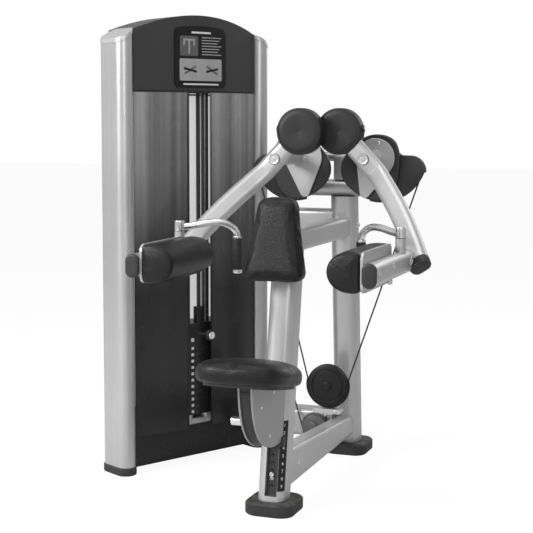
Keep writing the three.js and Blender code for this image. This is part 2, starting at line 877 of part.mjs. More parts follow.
function buildPad(side, label) {
  const inner = side * (beamX - beamWidth / 2);
  const beam = bar('y', beamWidth, beamHeight, beamWidth / 2, beamFrontY, armEndY, side * beamX, beamZ);
  const backing = bar(
    'x',
    backingRearY - backingFrontY,
    backingHeight,
    backingCorner,
    Math.min(inner, inner - side * backingThickness),
    Math.max(inner, inner - side * backingThickness),
    (backingFrontY + backingRearY) / 2,
    padZ,
  );
  const tie = block(
    Math.min(inner - side * backingThickness / 2, side * beamX),
    Math.max(inner - side * backingThickness / 2, side * beamX),
    backingFrontY + backingCorner,
    backingRearY - backingCorner,
    beamZ - backingThickness,
    beamZ + backingThickness,
  );
  const sleeve = rodZ(sleeveRadius, beamZ, beamZ + sleeveHeight, side * beamX, sleeveY);
  const cutter = armBody(side, fit);
  piece(station, `pad_beam_${label}`, cut(join(beam, backing, tie, sleeve), cutter), silver);

  const stops = [
    [padFrontY, padEdge],
    [padFrontY + padEdge / 3, padEdge / 3],
    [padFrontY + padEdge, 0],
    [(padFrontY + padRearY) / 2, -padEdge / 8],
    [padRearY - padEdge * 3, 0],
    [padRearY - padEdge, padEdge / 2],
    [padRearY - padEdge / 4, padEdge],
    [padRearY, padEdge * 2],
  ];
  piece(station, `arm_pad_${label}`, loft(stops.map(([y, inset]) => padRing(y, inset, side))), vinyl);

  const post = new THREE.Vector3(side * beamX, sleeveY, handleZ);
  const way = new THREE.Vector3(-side * Math.cos(handleTurn), Math.sin(handleTurn), 0);
  const corner = post.clone().addScaledVector(way, handleReach);
  const before = corner.clone().addScaledVector(way, -handleBend);
  const after = corner.clone().setZ(handleZ - handleBend);
  const turn = new THREE.QuadraticBezierCurve3(before, corner, after).getPoints(cornerSteps + 2);
  const gripBottom = gripTop - gripLength;
  const bent = roundTube([post, ...turn, after.clone().setZ(gripBottom)], handleRadius, handleSides);
  const cap = rodZ(sleeveRadius, beamZ + sleeveHeight + fit, handleZ + sleeveRadius, side * beamX, sleeveY);
  const end = rodZ(gripRadius, gripBottom - gripEnd, gripBottom, corner.x, corner.y);
  const collar = rodZ(gripRadius, gripTop, gripTop + gripEnd / 2, corner.x, corner.y);
  piece(station, `handle_${label}`, join(bent, cap, end, collar), chrome);

  const grip = rodZ(gripRadius, gripBottom + fit, gripTop - fit, corner.x, corner.y);
  const bore = rodZ(handleRadius + fit, gripBottom - overrun, gripTop + overrun, corner.x, corner.y);
  piece(station, `grip_${label}`, cut(grip, bore), rubber);
}

// The chest pad follows the front post's lean.
function buildChestPad() {
  const outline = (inset) => {
    const bottom = chestBottomWidth / 2 - inset;
    const top = chestTopWidth / 2 - inset;
    const low = chestBottom + inset;
    const high = chestTop - inset;
    const corners = [[bottom, low], [top, high], [-top, high], [-bottom, low]];
    const path = [];
    corners.forEach(([x, z], i) => {
      const [px, pz] = corners[(i + 3) % 4];
      const [nx, nz] = corners[(i + 1) % 4];
      const back = Math.hypot(px - x, pz - z);
      const ahead = Math.hypot(nx - x, nz - z);
      const a = [x + ((px - x) * chestCorner) / back, z + ((pz - z) * chestCorner) / back];
      const b = [x + ((nx - x) * chestCorner) / ahead, z + ((nz - z) * chestCorner) / ahead];
      for (let step = 0; step <= cornerSteps; step += 1) {
        const t = step / cornerSteps;
        const share = (1 - t) ** 2;
        const middle = 2 * t * (1 - t);
        path.push([share * a[0] + middle * x + t * t * b[0], share * a[1] + middle * z + t * t * b[1]]);
      }
    });
    return path;
  };
  const ring = (inset, back) => outline(inset).map(([x, z]) => (
    new THREE.Vector3(x, chestFrontY + back + frontLean * (z - chestBottom), z)
  ));
  const pad = loft([
    ring(chestCorner, -chestCrown),
    ring(chestDrawIn * 2, -chestCrown / 2),
    ring(chestDrawIn / 2, chestDrawIn),
    ring(0, chestDrawIn * 2),
    ring(0, chestThickness - chestDrawIn * 2),
    ring(chestDrawIn / 2, chestThickness - chestDrawIn / 2),
    ring(chestDrawIn, chestThickness),
  ]);
  piece(station, 'chest_pad', pad, vinyl);
}

// The seat cushion on its board, and the carriage that rides the front post.
function seatOutline(inset) {
  const half = seatLength / 2 - inset;
  const side = seatWidth / 2 - inset;
  const path = [];
  for (let i = 0; i < seatSteps; i += 1) {
    const angle = (2 * Math.PI * i) / seatSteps;
    const squareness = 2 / (2 + (2 * (seatLength - seatCorner)) / seatLength);
    const x = Math.sign(Math.cos(angle)) * Math.abs(Math.cos(angle)) ** squareness;
    const y = Math.sign(Math.sin(angle)) * Math.abs(Math.sin(angle)) ** squareness;
    path.push([side * x, half * y]);
  }
  return path;
}

function buildSeat() {
  // The seat lies square to the leaning post, so it falls away towards the chest pad.
  const fall = (y) => frontLean * (seatY - y);
  const ring = (inset, z) => ringAcross('z', seatOutline(inset), z, 0, seatY).map((point) => (
    point.setZ(point.z + fall(point.y))
  ));
  const top = seatBottom + seatThickness;
  const cushion = loft([
    ring(seatDrawIn, seatBottom),
    ring(seatDrawIn / 3, seatBottom + seatDrawIn / 2),
    ring(0, seatBottom + seatDrawIn * 1.5),
    ring(0, top - seatDrawIn * 2),
    ring(seatDrawIn / 2, top - seatDrawIn),
    ring(seatDrawIn * 2, top - seatDrawIn / 4),
    ring(seatDrawIn * 5, top + seatCrown / 3),
    ring(seatDrawIn * 9, top + seatCrown / 2),
  ]);
  piece(station, 'seat_cushion', cushion, vinyl);

  const boardTop = seatBottom - fit;
  const boardBottom = boardTop - boardThickness;
  const board = loft([boardBottom, boardTop].map((z) => ring(boardMargin, z)));
  const cheekTop = boardBottom - fit;
  const cheekRear = cheekRearY - fit;
  const rearTop = (cheekTop + fall(cheekRear + frontY(0))) / (1 + frontLean ** 2);
  const curve = (inset) => new THREE.QuadraticBezierCurve(
    new THREE.Vector2(cheekFrontY + inset, cheekTop + fall(cheekFrontY + inset)),
    new THREE.Vector2(cheekFrontY + inset + bandThickness, cheekBottom + inset + bandThickness * 2),
    new THREE.Vector2(cheekRearY - footHeight, cheekBottom + inset),
  ).getPoints(cornerSteps * 3);
  const cheek = new THREE.Shape([
    ...curve(0),
    new THREE.Vector2(cheekRear + frontY(cheekBottom), cheekBottom),
    new THREE.Vector2(cheekRear + frontY(rearTop), rearTop),
  ]);
  piece(station, 'seat_cheek_right', plateX(cheek, cheekThickness, cheekX), silver);
  piece(station, 'seat_cheek_left', plateX(cheek, cheekThickness, cheekLeftX - cheekThickness), silver);

  const left = cheekLeftX + fit;
  const right = cheekX - fit;
  const strip = new THREE.Shape([...curve(bandThickness / 2), ...curve(bandThickness * 1.5).reverse()]);
  const band = plateX(strip, right - left, left);
  const tieRise = fall(cheekFrontY + bandThickness * 4);
  const lift = block(
    left,
    right,
    cheekFrontY + bandThickness * 2,
    cheekFrontY + bandThickness * 6,
    cheekTop - bandThickness * 2 + tieRise,
    boardTop - boardThickness / 2 + tieRise,
  );
  const bandTie = block(
    left,
    right,
    cheekFrontY + bandThickness / 2,
    cheekFrontY + bandThickness * 6,
    cheekTop - bandThickness * 2 + tieRise,
    cheekTop - bandThickness + tieRise,
  );
  piece(station, 'seat_board', join(board, band, lift, bandTie), nearBlack);

  const nose = leaningBlock(
    left,
    right,
    carriageFrontY,
    cheekRearY - fit,
    carriageBottom,
    carriageTop,
  );
  const neck = leaningBlock(left, recessRight, cheekRearY - overrun, 0, carriageBottom, carriageTop);
  const grown = leaningPost(frontY, 0, frontPostTop, fit);
  piece(station, 'seat_carriage', cut(join(nose, neck), grown), nearBlack);

  const leverX = cheekLeftX - cheekThickness - fit;
  const pivot = rodX(leverRadius, leverX - leverPlate, leverX, leverY + leverArm, leverZ + leverArm / 2);
  const arm = block(
    leverX - leverPlate,
    leverX,
    leverY,
    leverY + leverArm,
    leverZ - leverRadius / 2,
    leverZ + leverRadius,
  );
  const roller = rodX(leverRadius, leverX - leverLength, leverX, leverY, leverZ);
  piece(station, 'seat_lever', join(pivot, arm, roller), chrome);
}

// The hanging pulley between the arms with its bracket, and the low pulley.
function buildPulleys() {
  const half = floatThickness / 2;
  const sheave = turned([
    [floatAxle + fit, floatY - half],
    [floatRadius - floatGroove / 2, floatY - half],
    [floatRadius, floatY - half + floatGroove / 2],
    [floatRadius, floatY - floatGroove / 2],
    [floatRadius - floatGroove, floatY],
    [floatRadius, floatY + floatGroove / 2],
    [floatRadius, floatY + half],
    [floatAxle + fit, floatY + half],
    [floatAxle + fit, floatY - half],
  ], floatX, floatZ);
  piece(station, 'hanging_pulley', sheave, nearBlack);

  const plateFront = floatY + half + fit;
  const drop = floatZ - bracketDrop;
  const plate = bar(
    'y',
    bracketWidth / 2,
    bracketDrop + bracketWidth / 2,
    bracketWidth / 4,
    plateFront,
    plateFront + bracketPlate,
    floatX,
    floatZ - bracketDrop / 2 + bracketWidth / 4,
  );
  const foot = bar(
    'y',
    bracketWidth,
    bracketBlock,
    bracketBlock / 2,
    floatY - half,
    plateFront + bracketPlate,
    floatX,
    drop + bracketBlock / 2,
  );
  const axle = rodY(floatAxle, floatY - half, plateFront + bracketPlate / 2, floatX, floatZ);
  const headFront = floatY - half - fit - bracketPlate / 2;
  const head = rodY(floatAxle * 2, headFront, floatY - half - fit, floatX, floatZ);
  const neck = rodY(floatAxle, floatY - half - bracketPlate / 2, floatY, floatX, floatZ);
  piece(station, 'pulley_bracket', join(plate, foot, axle, head, neck), silver);

  const thin = lowPulleyThickness / 2;
  const low = turned([
    [lowPulleyAxle + fit, lowPulleyY - thin],
    [lowPulleyRadius, lowPulleyY - thin],
    [lowPulleyRadius, lowPulleyY - lowPulleyGroove / 2],
    [lowPulleyRadius - lowPulleyGroove, lowPulleyY],
    [lowPulleyRadius, lowPulleyY + lowPulleyGroove / 2],
    [lowPulleyRadius, lowPulleyY + thin],
    [lowPulleyAxle + fit, lowPulleyY + thin],
    [lowPulleyAxle + fit, lowPulleyY - thin],
  ], lowPulleyX, lowPulleyZ);
  piece(station, 'low_pulley', low, charcoal);
}

// Cables, each round its pulleys along straight runs and arcs.
function arcPoints(centre, radius, from, to, count) {
  const points = [];
  for (let i = 0; i <= count; i += 1) {
    const angle = from + ((to - from) * i) / count;
    points.push(new THREE.Vector3(
      centre.x + radius * Math.cos(angle),
      centre.y,
      centre.z + radius * Math.sin(angle),
    ));
  }
  return points;
}

function buildCables() {
  const wrap = floatRadius + cableRadius + fit;
  const sheave = new THREE.Vector3(floatX, floatY, floatZ);
  const runs = [1, -1].map((side) => {
    const points = [];
    for (let i = 0; i <= cornerSteps; i += 1) {
      const angle = -cableTopAngle - ((cableLeaveAngle - cableTopAngle) * i) / cornerSteps;
      const radius = camRim(angle, camGrooveDepth) + cableRadius + fit;
      points.push(new THREE.Vector3(
        side * (pivotX + radius * Math.cos(angle)),
        grooveY,
        pivotZ + radius * Math.sin(angle),
      ));
    }
    return points;
  });
  const under = arcPoints(sheave, wrap, floatLeaveAngle, -Math.PI - floatLeaveAngle, wrapSteps);
  const run = [...runs[0], ...under, ...runs[1].reverse()];
  piece(station, 'arm_cable', roundTube(run, cableRadius, cordSides), nearBlack);

  const low = new THREE.Vector3(lowPulleyX, lowPulleyY, lowPulleyZ);
  const lowWrap = lowPulleyRadius + 2 * cableRadius;
  const start = new THREE.Vector3(floatX + cableAnchor, floatY, floatZ - bracketDrop - fit);
  const columnX = columnSpacing / 2;
  const over = towerPoint(
    columnX + columnWidth * cableOverShare,
    columnDepth + footHeight,
    lowCrossTop + lowBeamWidth,
  );
  const behind = towerPoint(columnX + columnWidth, -(columnDepth + columnFoot) / 2, lowCrossTop * 2);
  const rear = towerPoint(transferU + transferRadius + cableRadius + fit, -transferRear, transferZ);
  const top = rear.clone().setZ(topBeamLow - overrun * 2);
  const leave = arcPoints(low, lowWrap, 0, -Math.PI + lowLeaveAngle, lowWrapSteps);
  const route = [start, start.clone().setZ(start.z - cableRadius * 3), ...leave, over, behind, rear, top];
  piece(station, 'lift_cable', roundTube(route, cableRadius, cordSides), nearBlack);
}

// A place given in the tower's own directions: along its face, forward of it, and up.
function towerPoint(along, forward, z) {
  return new THREE.Vector3(along, -forward, z).applyMatrix4(tower.matrix);
}

// Tower columns end in a slope that falls away to the outside.
function columnBody(side, grow) {
  const outline = roundedOutline(columnWidth + 2 * grow, columnDepth + 2 * grow, columnWidth / 2 + grow);
  const x = (side * columnSpacing) / 2;
  const top = ringAcross('z', outline, 0, x, 0).map((point) => {
    const share = (side * (point.x - x)) / columnWidth + 1 / 2;
    return point.setZ(columnInnerTop + (columnOuterTop - columnInnerTop) * share);
  });
  return loft([ringAcross('z', outline, columnFoot + fit, x, 0), top]);
}

function bow(x) {
  const half = columnSpacing / 2 - columnWidth / 2;
  return panelBow * (1 - (x / half) ** 2);
}

// A bowed sheet between two places along the tower's face.
function bowedSheet(from, to, stations, front, thickness, low, high) {
  const rings = [];
  for (let i = 0; i <= stations; i += 1) {
    const x = from + ((to - from) * i) / stations;
    const face = -(front + bow(x));
    rings.push([
      new THREE.Vector3(x, face, low(x)),
      new THREE.Vector3(x, face + thickness, low(x)),
      new THREE.Vector3(x, face + thickness, high(x)),
      new THREE.Vector3(x, face, high(x)),
    ]);
  }
  return loft(rings);
}

const inside = (columnSpacing - columnWidth) / 2 - fit;

function headTop(x) {
  return headCrown - (headCrown - headEnd) * (x / inside) ** 2;
}

function buildTower() {
  for (const [side, label] of [[-1, 'left'], [1, 'right']]) {
    piece(tower, `column_${label}`, columnBody(side, 0), silver);
    const foot = bar(
      'z',
      columnWidth + 2 * columnFootMargin,
      columnDepth + 2 * columnFootMargin,
      columnWidth / 2 + columnFootMargin,
      0,
      columnFoot,
      (side * columnSpacing) / 2,
      0,
      footEdge / 2,
    );
    piece(tower, `column_foot_${label}`, foot, rubber);
  }

  const slotLeft = slotCentre - slotWidth / 2;
  const slotRight = slotCentre + slotWidth / 2;
  const low = () => kickTop + fit;
  const high = () => panelTop - fit;
  const left = bowedSheet(-inside, slotLeft, panelStations, panelFront, panelThickness, low, high);
  const right = bowedSheet(slotRight, inside, panelStations, panelFront, panelThickness, low, high);
  piece(tower, 'shroud_left', left, smoky);
  piece(tower, 'shroud_right', right, smoky);
  const kickHalf = inside - columnFootMargin;
  const kick = block(-kickHalf, kickHalf, -kickFront - panelThickness, -kickFront, kickBottom, kickTop);
  piece(tower, 'kick_panel', kick, nearBlack);

  const outer = bowedSheet(-inside, inside, headStations, panelFront, headDepth, () => panelTop, headTop);
  const hollow = bowedSheet(
    -inside + headWall,
    inside - headWall,
    headStations,
    panelFront - headWall,
    headDepth - 2 * headWall,
    () => panelTop - overrun,
    (x) => headTop(x) - headWall,
  );
  piece(tower, 'head_housing', cut(outer, hollow), charcoal);

  const half = placardWidth / 2;
  const cornerDrop = (x) => {
    const past = Math.max(Math.abs(x) - (half - placardCorner), 0);
    return placardCorner - Math.sqrt(Math.max(placardCorner ** 2 - past ** 2, 0));
  };
  const placard = bowedSheet(
    -half,
    half,
    headStations * 2,
    panelFront + fit + placardThickness,
    placardThickness,
    (x) => placardBottom + cornerDrop(x),
    (x) => placardTop - placardArch * (x / half) ** 2 - cornerDrop(x),
  );
  piece(tower, 'placard', placard, nearBlack);

  const wall = rearShroudWall;
  const rearFront = columnDepth / 4;
  const rearTop = panelTop - fit;
  const shroud = block(-inside, inside, rearFront, rearFront + rearShroudDepth, rearShroudBottom, rearTop);
  const room = block(
    -inside + wall,
    inside - wall,
    rearFront - overrun,
    rearFront + rearShroudDepth - wall,
    rearShroudBottom - overrun,
    rearTop + overrun,
  );
  const notch = block(
    inside - overrun,
    inside + overrun,
    columnDepth / 2,
    rearFront + rearShroudDepth + overrun,
    rearNotchBottom,
    rearNotchTop,
  );
  piece(tower, 'rear_shroud', cut(shroud, room, notch), nearBlack);
}

// A plain wheel with a bore that runs on its pin.
function idler(radius, width, x, y, z) {
  const bore = idlerAxle + fit;
  const front = y - width / 2;
  const rear = y + width / 2;
  return turned([[bore, front], [radius, front], [radius, rear], [bore, rear], [bore, front]], x, z);
}

// The stack, its rods and what lifts it.
function buildStack() {
  const x = stackCentre;
  const rodPlace = -rodForward;
  const rods = [-1, 1].map((side) => x + (side * rodSpacing) / 2);
  const spaces = rods.map((rx) => rodZ(rodRadius + fit, 0, panelTop, rx, rodPlace, roundSides / 2));
  const left = x - stackWidth / 2;
  const right = x + stackWidth / 2;
  const stackTop = stackBottom + plateCount * plateHeight;

  const base = block(-inside, inside, -baseBeamFront, baseBeamRear, baseBeamBottom, baseBeamTop);
  const bumpers = rods.map((rx) => (
    rodZ(bumperRadius, baseBeamTop - overrun, stackBottom - fit, rx, rodPlace, roundSides / 2)
  ));
  const seats = rods.map((rx) => (
    rodZ(rodRadius + fit, baseBeamTop - overrun, stackBottom, rx, rodPlace, roundSides / 2)
  ));
  piece(tower, 'base_beam', cut(join(base, ...bumpers), ...seats), silver);
  const railHalf = inside - headWall - fit;
  const rail = block(-railHalf, railHalf, -baseBeamFront, baseBeamFront, topBeamLow, topBeamHigh);
  const beltSlot = block(
    x - beltThickness,
    x + beltThickness,
    -stackFront - overrun,
    -stackFront + stemDepth + fit,
    topBeamLow - overrun,
    topBeamHigh + overrun,
  );
  piece(tower, 'top_rail', cut(rail, beltSlot), silver);
  rods.forEach((rx, i) => {
    const rod = rodZ(rodRadius, baseBeamTop - overrun + fit, topBeamLow - fit, rx, rodPlace, roundSides / 2);
    piece(tower, `guide_rod_${i === 0 ? 'left' : 'right'}`, rod, chrome);
  });

  const stack = block(left, right, -stackFront, stackDepth - stackFront, stackBottom, stackTop);
  const grooves = [];
  for (let i = 1; i < plateCount; i += 1) {
    const z = stackBottom + i * plateHeight;
    grooves.push(block(
      left - overrun,
      right + overrun,
      -stackFront - overrun,
      -stackFront + plateGrooveDepth,
      z - plateGroove,
      z,
    ));
  }
  piece(tower, 'weight_plates', cut(stack, ...grooves, ...spaces), iron);

  const topBottom = stackTop + fit;
  const topTop = topBottom + topPlateHeight;
  const topPlate = block(left, right, -stackFront, stackDepth - stackFront, topBottom, topTop);
  const stemFront = -stackFront + stemDepth;
  const stem = block(
    x - stemWidth / 2,
    x + stemWidth / 2,
    stemFront - stemDepth,
    stemFront,
    topBottom + topPlateHeight / 2,
    topTop + stemHeight,
  );
  const pinZ = topBottom + topPlateHeight / 2;
  const pinSpace = rodY(pinRadius + fit, -stackFront - overrun, -stackFront + pinReach + fit, x, pinZ);
  piece(tower, 'top_plate', cut(join(topPlate, stem), ...spaces, pinSpace), iron);

  const knobRear = -(panelFront + panelBow + fit + overrun / 4);
  const pin = turned([
    [0, knobRear - pinKnobLength],
    [pinKnobRadius * knobTipShare, knobRear - pinKnobLength],
    [pinKnobRadius, knobRear - pinKnobLength * knobShoulderShare],
    [pinKnobRadius, knobRear],
    [pinRadius, knobRear],
    [pinRadius, -stackFront + pinReach],
    [0, -stackFront + pinReach],
  ], x, pinZ);
  piece(tower, 'selector_pin', pin, chrome);

  const beltY = stemFront - stemDepth / 2;
  const pulleyX = x + beltPulleyRadius + beltThickness;
  const belt = block(
    x - beltThickness / 2,
    x + beltThickness / 2,
    beltY - beltWidth / 2,
    beltY + beltWidth / 2,
    topTop + stemHeight + fit,
    beltPulleyZ,
  );
  piece(tower, 'lift_belt', belt, nearBlack);
  const beltWheel = idler(beltPulleyRadius, beltPulleyWidth, pulleyX, beltY, beltPulleyZ);
  piece(tower, 'belt_pulley', beltWheel, charcoal);
  const beltHead = beltY - beltPulleyWidth / 2 - fit;
  const beltStand = join(
    rodY(idlerAxle, beltHead, baseBeamFront, pulleyX, beltPulleyZ),
    rodY(idlerHead, beltHead - idlerHeadThickness, beltHead, pulleyX, beltPulleyZ),
    block(
      pulleyX - rodRadius,
      pulleyX + rodRadius,
      baseBeamFront - rodRadius,
      baseBeamFront,
      topBeamHigh + fit,
      beltPulleyZ + rodRadius,
    ),
  );
  piece(tower, 'belt_stand', beltStand, silver);

  const wheel = idler(transferRadius, transferWidth, transferU, transferRear, transferZ);
  piece(tower, 'transfer_pulley', wheel, charcoal);
  const wheelHead = transferRear + transferWidth / 2 + fit;
  const stand = join(
    rodY(idlerAxle, baseBeamRear - rodRadius, wheelHead, transferU, transferZ),
    rodY(idlerHead, wheelHead, wheelHead + idlerHeadThickness, transferU, transferZ),
    block(
      transferU - rodRadius,
      transferU + rodRadius,
      baseBeamRear - rodRadius,
      baseBeamRear,
      baseBeamTop + fit,
      transferZ + rodRadius,
    ),
  );
  piece(tower, 'transfer_stand', stand, silver);
}

buildFrame();
buildCrossmember();
for (const [side, label] of [[-1, 'left'], [1, 'right']]) {
  buildArm(side, label);
  buildPad(side, label);
}
buildChestPad();
buildSeat();
buildPulleys();
buildCables();
buildTower();
buildStack();

// The origin is under the middle of the machine's box.
machine.updateMatrixWorld(true);
const box = new THREE.Box3().setFromObject(machine);
const middle = box.getCenter(new THREE.Vector3());
machine.position.set(-middle.x, -middle.y, 0);
machine.updateMatrixWorld(true);

export default machine;
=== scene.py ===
# %% [markdown]
# # A lateral raise machine, dressed in Blender
# The machine has a leaning user station, two swinging arms with counterweights, and a weight
# tower on the user's left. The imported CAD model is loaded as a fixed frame, and this lesson puts
# finishes on it and replaces the plain pieces by finer ones.

# %% Load the frame
import math

import bpy
import bmesh
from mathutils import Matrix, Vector
from mathutils.bvhtree import BVHTree


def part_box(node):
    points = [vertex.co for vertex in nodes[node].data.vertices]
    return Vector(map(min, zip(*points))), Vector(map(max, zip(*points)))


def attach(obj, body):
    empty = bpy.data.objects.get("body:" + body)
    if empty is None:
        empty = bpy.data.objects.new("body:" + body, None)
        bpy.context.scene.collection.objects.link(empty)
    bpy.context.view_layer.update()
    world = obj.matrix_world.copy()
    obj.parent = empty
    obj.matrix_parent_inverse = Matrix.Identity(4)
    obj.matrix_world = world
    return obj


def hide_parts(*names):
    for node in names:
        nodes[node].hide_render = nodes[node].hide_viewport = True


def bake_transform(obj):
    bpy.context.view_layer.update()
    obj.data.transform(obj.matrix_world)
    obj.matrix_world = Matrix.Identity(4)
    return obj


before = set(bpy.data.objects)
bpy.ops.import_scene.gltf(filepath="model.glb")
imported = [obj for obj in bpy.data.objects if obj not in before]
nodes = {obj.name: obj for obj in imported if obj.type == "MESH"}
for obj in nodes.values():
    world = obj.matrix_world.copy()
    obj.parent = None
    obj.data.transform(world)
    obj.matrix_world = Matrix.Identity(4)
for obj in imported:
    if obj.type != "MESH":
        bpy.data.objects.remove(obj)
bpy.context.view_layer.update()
scene = bpy.context.scene

# %% [markdown]
# Two sets of directions are used, as on the drawing. The station is measured from the middle of
# the front foot. The tower has its own directions, because it stands turned beside the station,
# and they are read from its two columns. All sizes below are in millimetres.

# %% Places on the station and on the tower
MM = 0.001
AHEAD, UP = Vector((0, 1, 0)), Vector((0, 0, 1))
FORWARD, RIGHT = Vector((0, -1, 0)), Vector((1, 0, 0))
SIDES = ((-1, "left"), (1, "right"))


def middle(node):
    low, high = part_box(node)
    return (low + high) / 2


station_origin = middle("front_foot")
column_places = [middle("column_left"), middle("column_right")]
tower_origin = (column_places[0] + column_places[1]) / 2
station_origin.z = tower_origin.z = 0
tower_along = (column_places[1] - column_places[0]).normalized()
tower_rear = Vector((-tower_along.y, tower_along.x, 0))
TOWER_OUT = -tower_rear


def spot(x, y, z):
    """A place on the station."""
    return station_origin + Vector((x, y, z)) * MM


def tower_spot(along, rear, z):
    """A place on the tower."""
    return tower_origin + (tower_along * along + tower_rear * rear + UP * z) * MM


print("station at", station_origin[:2], "tower at", tower_origin[:2])

# %% [markdown]
# The camera stands low in front of the machine and a little to the right, looking almost level,
# as a catalogue photographer would. A small shift keeps the uprights nearly parallel.

# %% The camera
PHOTO_PIXELS, FOCAL_PIXELS, SENSOR = 533, 1294, 36
CAMERA_PLACE, CAMERA_SHIFT = (1.636, -4.283, 1.316), (0.0016, -0.08)
CAMERA_TURN, CAMERA_DIP = math.radians(20.59), math.radians(4.62)
camera_data = bpy.data.cameras.new("photo_camera")
camera_data.sensor_width = SENSOR
camera_data.lens = SENSOR * FOCAL_PIXELS / PHOTO_PIXELS
camera_data.shift_x, camera_data.shift_y = CAMERA_SHIFT
camera = bpy.data.objects.new("photo_camera", camera_data)
scene.collection.objects.link(camera)
camera.location = CAMERA_PLACE
camera.rotation_euler = (math.pi / 2 - CAMERA_DIP, 0, CAMERA_TURN)
scene.camera = camera
print("camera lens", round(camera_data.lens, 1))

# %% [markdown]
# A finish is rarely one colour. Paint drifts in tone, edges polish, dust settles on top faces,
# and vinyl has a grain. Each of these effects is a node group that puts out a colour, a mask, a
# height or a normal, and each material places the groups that it needs with its own numbers.

# %% Helpers for effect groups
NUMBER, COLOUR, DIRECTION = "NodeSocketFloat", "NodeSocketColor", "NodeSocketVector"


def grey(value):
    return (value, value, value, 1)


def new_group(name, inputs, outputs):
    """A group from {input: value} and {output: kind}, what it is given, and its last node."""
    group = bpy.data.node_groups.new(name, "ShaderNodeTree")
    for title, value in inputs.items():
        kind = COLOUR if isinstance(value, tuple) else NUMBER
        socket = group.interface.new_socket(name=title, in_out="INPUT", socket_type=kind)
        socket.default_value = value
    for title, kind in outputs.items():
        group.interface.new_socket(name=title, in_out="OUTPUT", socket_type=kind)
    given = group.nodes.new("NodeGroupInput").outputs
    return group, given, group.nodes.new("NodeGroupOutput")


def join(tree, node, values):
    """Joins a node's inputs to other sockets, or sets them to values."""
    for key, value in values.items():
        if isinstance(value, bpy.types.NodeSocket):
            tree.links.new(value, node.inputs[key])
        else:
            node.inputs[key].default_value = value


def put(tree, kind, values=None, **settings):
    """Adds a node, sets it, and joins its inputs."""
    node = tree.nodes.new(kind)
    for key, value in settings.items():
        setattr(node, key, value)
    join(tree, node, values or {})
    return node


def use(tree, group, **values):
    """Places an effect group and gives back what it puts out."""
    return put(tree, "ShaderNodeGroup", values, node_tree=group).outputs


def remap(tree, value, low, high, out_low=0.0, out_high=1.0):
    values = dict(enumerate((value, low, high, out_low, out_high)))
    return put(tree, "ShaderNodeMapRange", values).outputs[0]


def mixed(tree, share, first, second):
    values = {0: share, 6: first, 7: second}
    return put(tree, "ShaderNodeMix", values, data_type="RGBA").outputs[2]


def maths(tree, operation, first, second, kind="ShaderNodeMath", **more):
    return put(tree, kind, {0: first, 1: second}, operation=operation, **more).outputs[0]


def scaled(tree, colour, factor):
    values = {0: colour, "Scale": factor}
    return put(tree, "ShaderNodeVectorMath", values, operation="SCALE").outputs[0]


def own_place(tree):
    return put(tree, "ShaderNodeTexCoord").outputs["Object"]


def noise(tree, place, scale, **more):
    return put(tree, "ShaderNodeTexNoise", {"Vector": place, "Scale": scale, **more}).outputs[0]


print("effect groups can be built")

# %% [markdown]
# Tone drift: every finish is a little lighter and darker from place to place, in broad clouds and
# in fine specks. It could be painted by hand, but noise in the object's own space needs no
# unwrapping and stays with the piece when it moves.

# %% Tone drift
tree, given, out = new_group(
    "tone_drift", {"Colour": grey(0.5), "Amount": 0.1, "Clouds": 6.0, "Specks": 300.0},
    {"Colour": COLOUR, "Mask": NUMBER})
clouds = noise(tree, own_place(tree), given["Clouds"], Detail=5.0, Roughness=0.6)
specks = noise(tree, own_place(tree), given["Specks"], Detail=2.0)
both = maths(tree, "ADD", clouds, specks)
change = maths(tree, "MULTIPLY", remap(tree, both, 0.7, 1.3, -1.0, 1.0), given["Amount"])
shifted = scaled(tree, given["Colour"], maths(tree, "ADD", change, 1.0))
join(tree, out, {"Colour": shifted, "Mask": remap(tree, both, 0.7, 1.3)})
tone_drift = tree
print(tone_drift.name, "ready")

# %% [markdown]
# Worn edges: hands, cloths and shoes rub the edges first. The bevel normal differs from the true
# normal only near an edge, so the difference is a mask, broken up by noise. The same bevelled
# normal also softens the sharp CAD edges, as a paint film does.

# %% Worn edges
tree, given, out = new_group(
    "worn_edges", {"Radius": 0.002, "Break up": 60.0, "Strength": 1.0},
    {"Mask": NUMBER, "Normal": DIRECTION})
soft = put(tree, "ShaderNodeBevel", {"Radius": given["Radius"]}, samples=4).outputs[0]
true = put(tree, "ShaderNodeNewGeometry").outputs["Normal"]
agree = put(tree, "ShaderNodeVectorMath", {0: soft, 1: true}, operation="DOT_PRODUCT")
edge = remap(tree, agree.outputs["Value"], 0.99, 0.8)
patches = noise(tree, own_place(tree), given["Break up"], Detail=4.0)
mask = maths(tree, "MULTIPLY", edge, remap(tree, patches, 0.45, 0.62))
strong = maths(tree, "MULTIPLY", mask, given["Strength"], use_clamp=True)
join(tree, out, {"Mask": strong, "Normal": soft})
worn_edges = tree
print(worn_edges.name, "ready")

# %% [markdown]
# Settled dust: a gym floor is dusty, and dust lies on faces that look up, more in some places than
# in others. The mask comes from the upward part of the normal and broad noise.

# %% Settled dust
tree, given, out = new_group("settled_dust", {"Amount": 0.2, "Scale": 25.0}, {"Mask": NUMBER})
normal = put(tree, "ShaderNodeNewGeometry").outputs["Normal"]
flat = remap(tree, put(tree, "ShaderNodeSeparateXYZ", {0: normal}).outputs[2], 0.35, 1.0)
patches = noise(tree, own_place(tree), given["Scale"], Detail=6.0)
lying = maths(tree, "MULTIPLY", flat, remap(tree, patches, 0.35, 0.7))
join(tree, out, {"Mask": maths(tree, "MULTIPLY", lying, given["Amount"])})
settled_dust = tree
print(settled_dust.name, "ready")

# %% [markdown]
# Grain: moulded plastic, cast rubber and vinyl all have a pebbled skin. Cells give the pebbles and
# noise gives the uneven ground between them, and the scale says which of the three it is.

